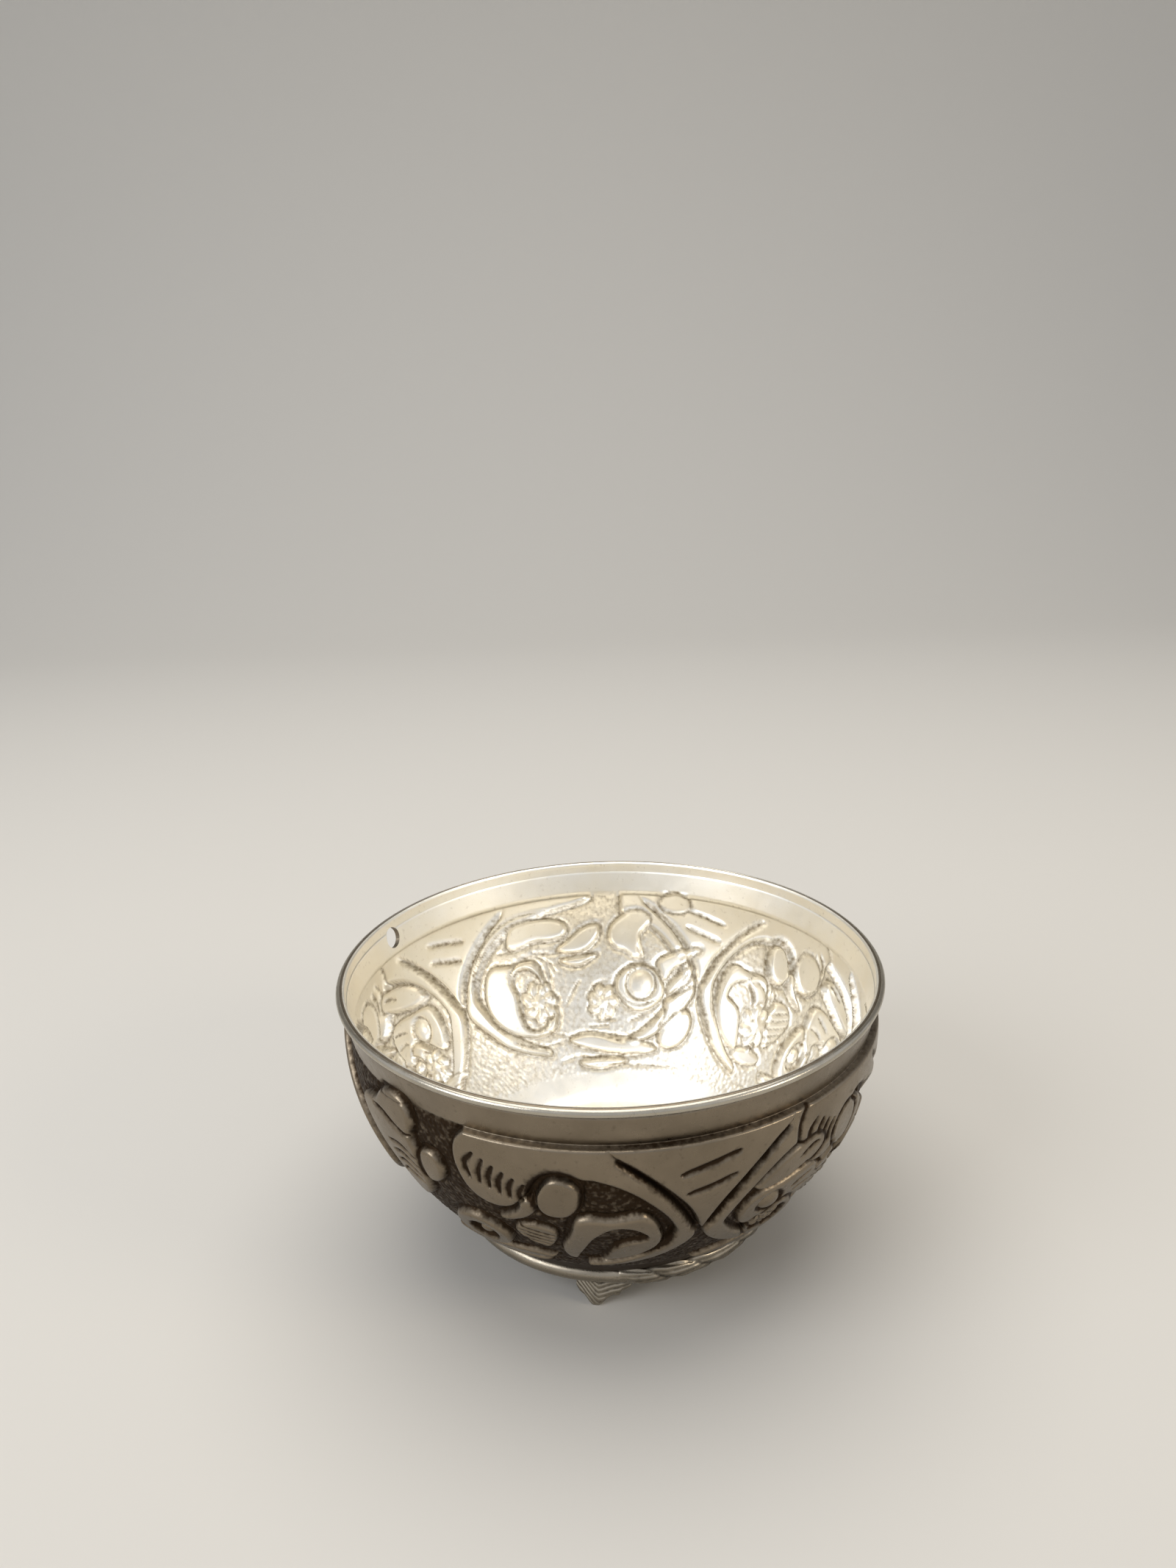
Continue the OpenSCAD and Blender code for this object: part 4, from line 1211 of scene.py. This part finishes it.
class OFFERING_OT_lip(Operator):
    """Solders the half-round wire round the lip"""
    bl_idname = "offering.lip"
    bl_label = "Lip wire"

    def execute(self, context):
        polished = silver(
            "silver wire, drawn and rubbed bright",
            linear("#b9b2a4"), linear("#8d8576"), linear("#2a2621"), rough=0.22, spread=0.5)
        z = LIP_Z - WIRE_HIGH / 2
        t = np.radians(np.linspace(-90, 90, 15))
        face = np.stack([BAND_R + WIRE_WIDE * np.cos(t), z + WIRE_HIGH / 2 * np.sin(t)], -1)
        back = np.array([(BAND_R - 0.05, LIP_Z - 0.02), (BAND_R - 0.05, LIP_Z - WIRE_HIGH + 0.02)])
        rows = np.concatenate([face, back])[::-1]

        def shape(r, z, a):
            """The drawn section, thinned here and there by up to 0.05 mm as it was rubbed."""
            thin = 0.025 * (1 + np.sin(7 * a + 1)) * (r > BAND_R)
            return r - thin, z + 0 * a

        revolved("lip_wire", rows, 720, shape, [polished], ["rim_wire"])
        return {"FINISHED"}


class OFFERING_OT_base(Operator):
    """Solders the bead round the base, which widens into a band of leaves"""
    bl_idname = "offering.base"
    bl_label = "Base bead"

    def execute(self, context):
        bead = silver(
            "silver wire, round and chased",
            linear("#9c9384"), linear("#766d5f"), linear("#1f1b17"), rough=0.28, spread=0.6)
        t = np.radians(np.arange(0, 360, 6))
        rows = np.stack([BEAD_AT + BEAD_R * np.cos(t), BEAD_Z + BEAD_R * np.sin(t)], -1)[::-1]

        def leafy(a):
            """Where the bead widens into a band of leaves, from nought to one."""
            turn = (np.degrees(a) + 60) % 360 - 60
            return smooth((turn + 6) / 18) * smooth((76 - turn) / 22)

        def leaves(z, a):
            """Leaves that overlap to the right, each rising from a dark hollow, and veins
            that draw together towards its tip."""
            up = (z - BEAD_Z) / BEAD_R
            run = (BEAD_AT * a + 2.6 * up + 0.7 * np.sin(5 * a)) / 6.2
            f = run - np.floor(run)
            crown = smooth(f / 0.35) * (1 - 0.6 * f) * smooth((1 - f) / 0.16)
            vein = np.cos(2 * np.pi * 2 * up / (1.25 - 0.6 * f))
            return f, crown, vein

        def shape(r, z, a):
            """The bead's round section, wider and higher where its leaves are."""
            there = leafy(a)
            f, crown, vein = leaves(z, a)
            k = 1 + there * (0.24 + 0.3 * crown + 0.06 * vein)
            wide = np.maximum(BEAD_AT + 0.45 * there + (r - BEAD_AT) * k, BASE_R - SHEET / 2)
            high = BEAD_Z + 0.55 * there + (z - BEAD_Z) * k
            # The wall rises from the base at 45 degrees, and the bead stops within it
            return wide, np.minimum(high, BASE_Z + wide - BASE_R + SHEET / 2)

        def tone(r, z, a):
            """Tarnish in the hollows between the leaves and beside their veins."""
            f, crown, vein = leaves(z, a)
            hollow = np.exp(-(np.minimum(f, 1 - f) / 0.1) ** 2)
            return leafy(a) * np.clip(0.45 * hollow + 0.45 * (0.1 - vein) * crown, 0, 1)

        revolved("base_bead", rows, 1440, shape, [bead], ["base_ring"], tone)
        return {"FINISHED"}


class OFFERING_OT_feet(Operator):
    """Sets the three cast feet under the bead"""
    bl_idname = "offering.feet"
    bl_label = "Feet"

    def execute(self, context):
        # Its tarnish also holds the painted shadow of the bead on each foot's upper part
        cast = silver(
            "silver, cast and left dull in its hollows",
            linear("#a59c8c"), linear("#776e60"), linear("#1f1b17"), rough=0.34, spread=0.7)
        points, faces, tone = foot()
        x, y, z = points.T
        for name, azimuth in FOOT_AZIMUTHS.items():
            a = np.radians(azimuth)
            turned = np.stack([x * np.cos(a) - y * np.sin(a), x * np.sin(a) + y * np.cos(a), z], -1)
            new_piece(name.replace("foot", "leaf_foot"), turned, faces, [cast], [name], tone)
        return {"FINISHED"}


class OFFERING_OT_stage(Operator):
    """Sets the paper floor, the lamps and the camera"""
    bl_idname = "offering.stage"
    bl_label = "Stage"

    def execute(self, context):
        paper_floor(context.scene)
        hang_lamps(context.scene)
        light_room(context.scene)
        place_camera(context.scene)
        context.scene.view_settings.view_transform = "Standard"
        return {"FINISHED"}


class OFFERING_PT_bowl(Panel):
    bl_label = "Offering Bowl"
    bl_space_type = "VIEW_3D"
    bl_region_type = "UI"
    bl_category = "Offering Bowl"

    def draw(self, context):
        scene = context.scene
        for group in (scene.bowl_sizes, scene.bowl_colours):
            for key in group.__annotations__:
                self.layout.prop(group, key)
        for step in STEPS:
            self.layout.operator(step.bl_idname)


STEPS = (
    OFFERING_OT_wall, OFFERING_OT_floor, OFFERING_OT_lip,
    OFFERING_OT_base, OFFERING_OT_feet, OFFERING_OT_stage,
)
CLASSES = (BowlSizes, BowlColours, *STEPS, OFFERING_PT_bowl)


def register():
    for c in CLASSES:
        bpy.utils.register_class(c)
    bpy.types.Scene.bowl_sizes = PointerProperty(type=BowlSizes)
    bpy.types.Scene.bowl_colours = PointerProperty(type=BowlColours)


def unregister():
    del bpy.types.Scene.bowl_colours, bpy.types.Scene.bowl_sizes
    for c in reversed(CLASSES):
        bpy.utils.unregister_class(c)


def main():
    register()
    for step in STEPS:
        part, name = step.bl_idname.split(".")
        getattr(getattr(bpy.ops, part), name)()


if __name__ == "__main__":
    main()
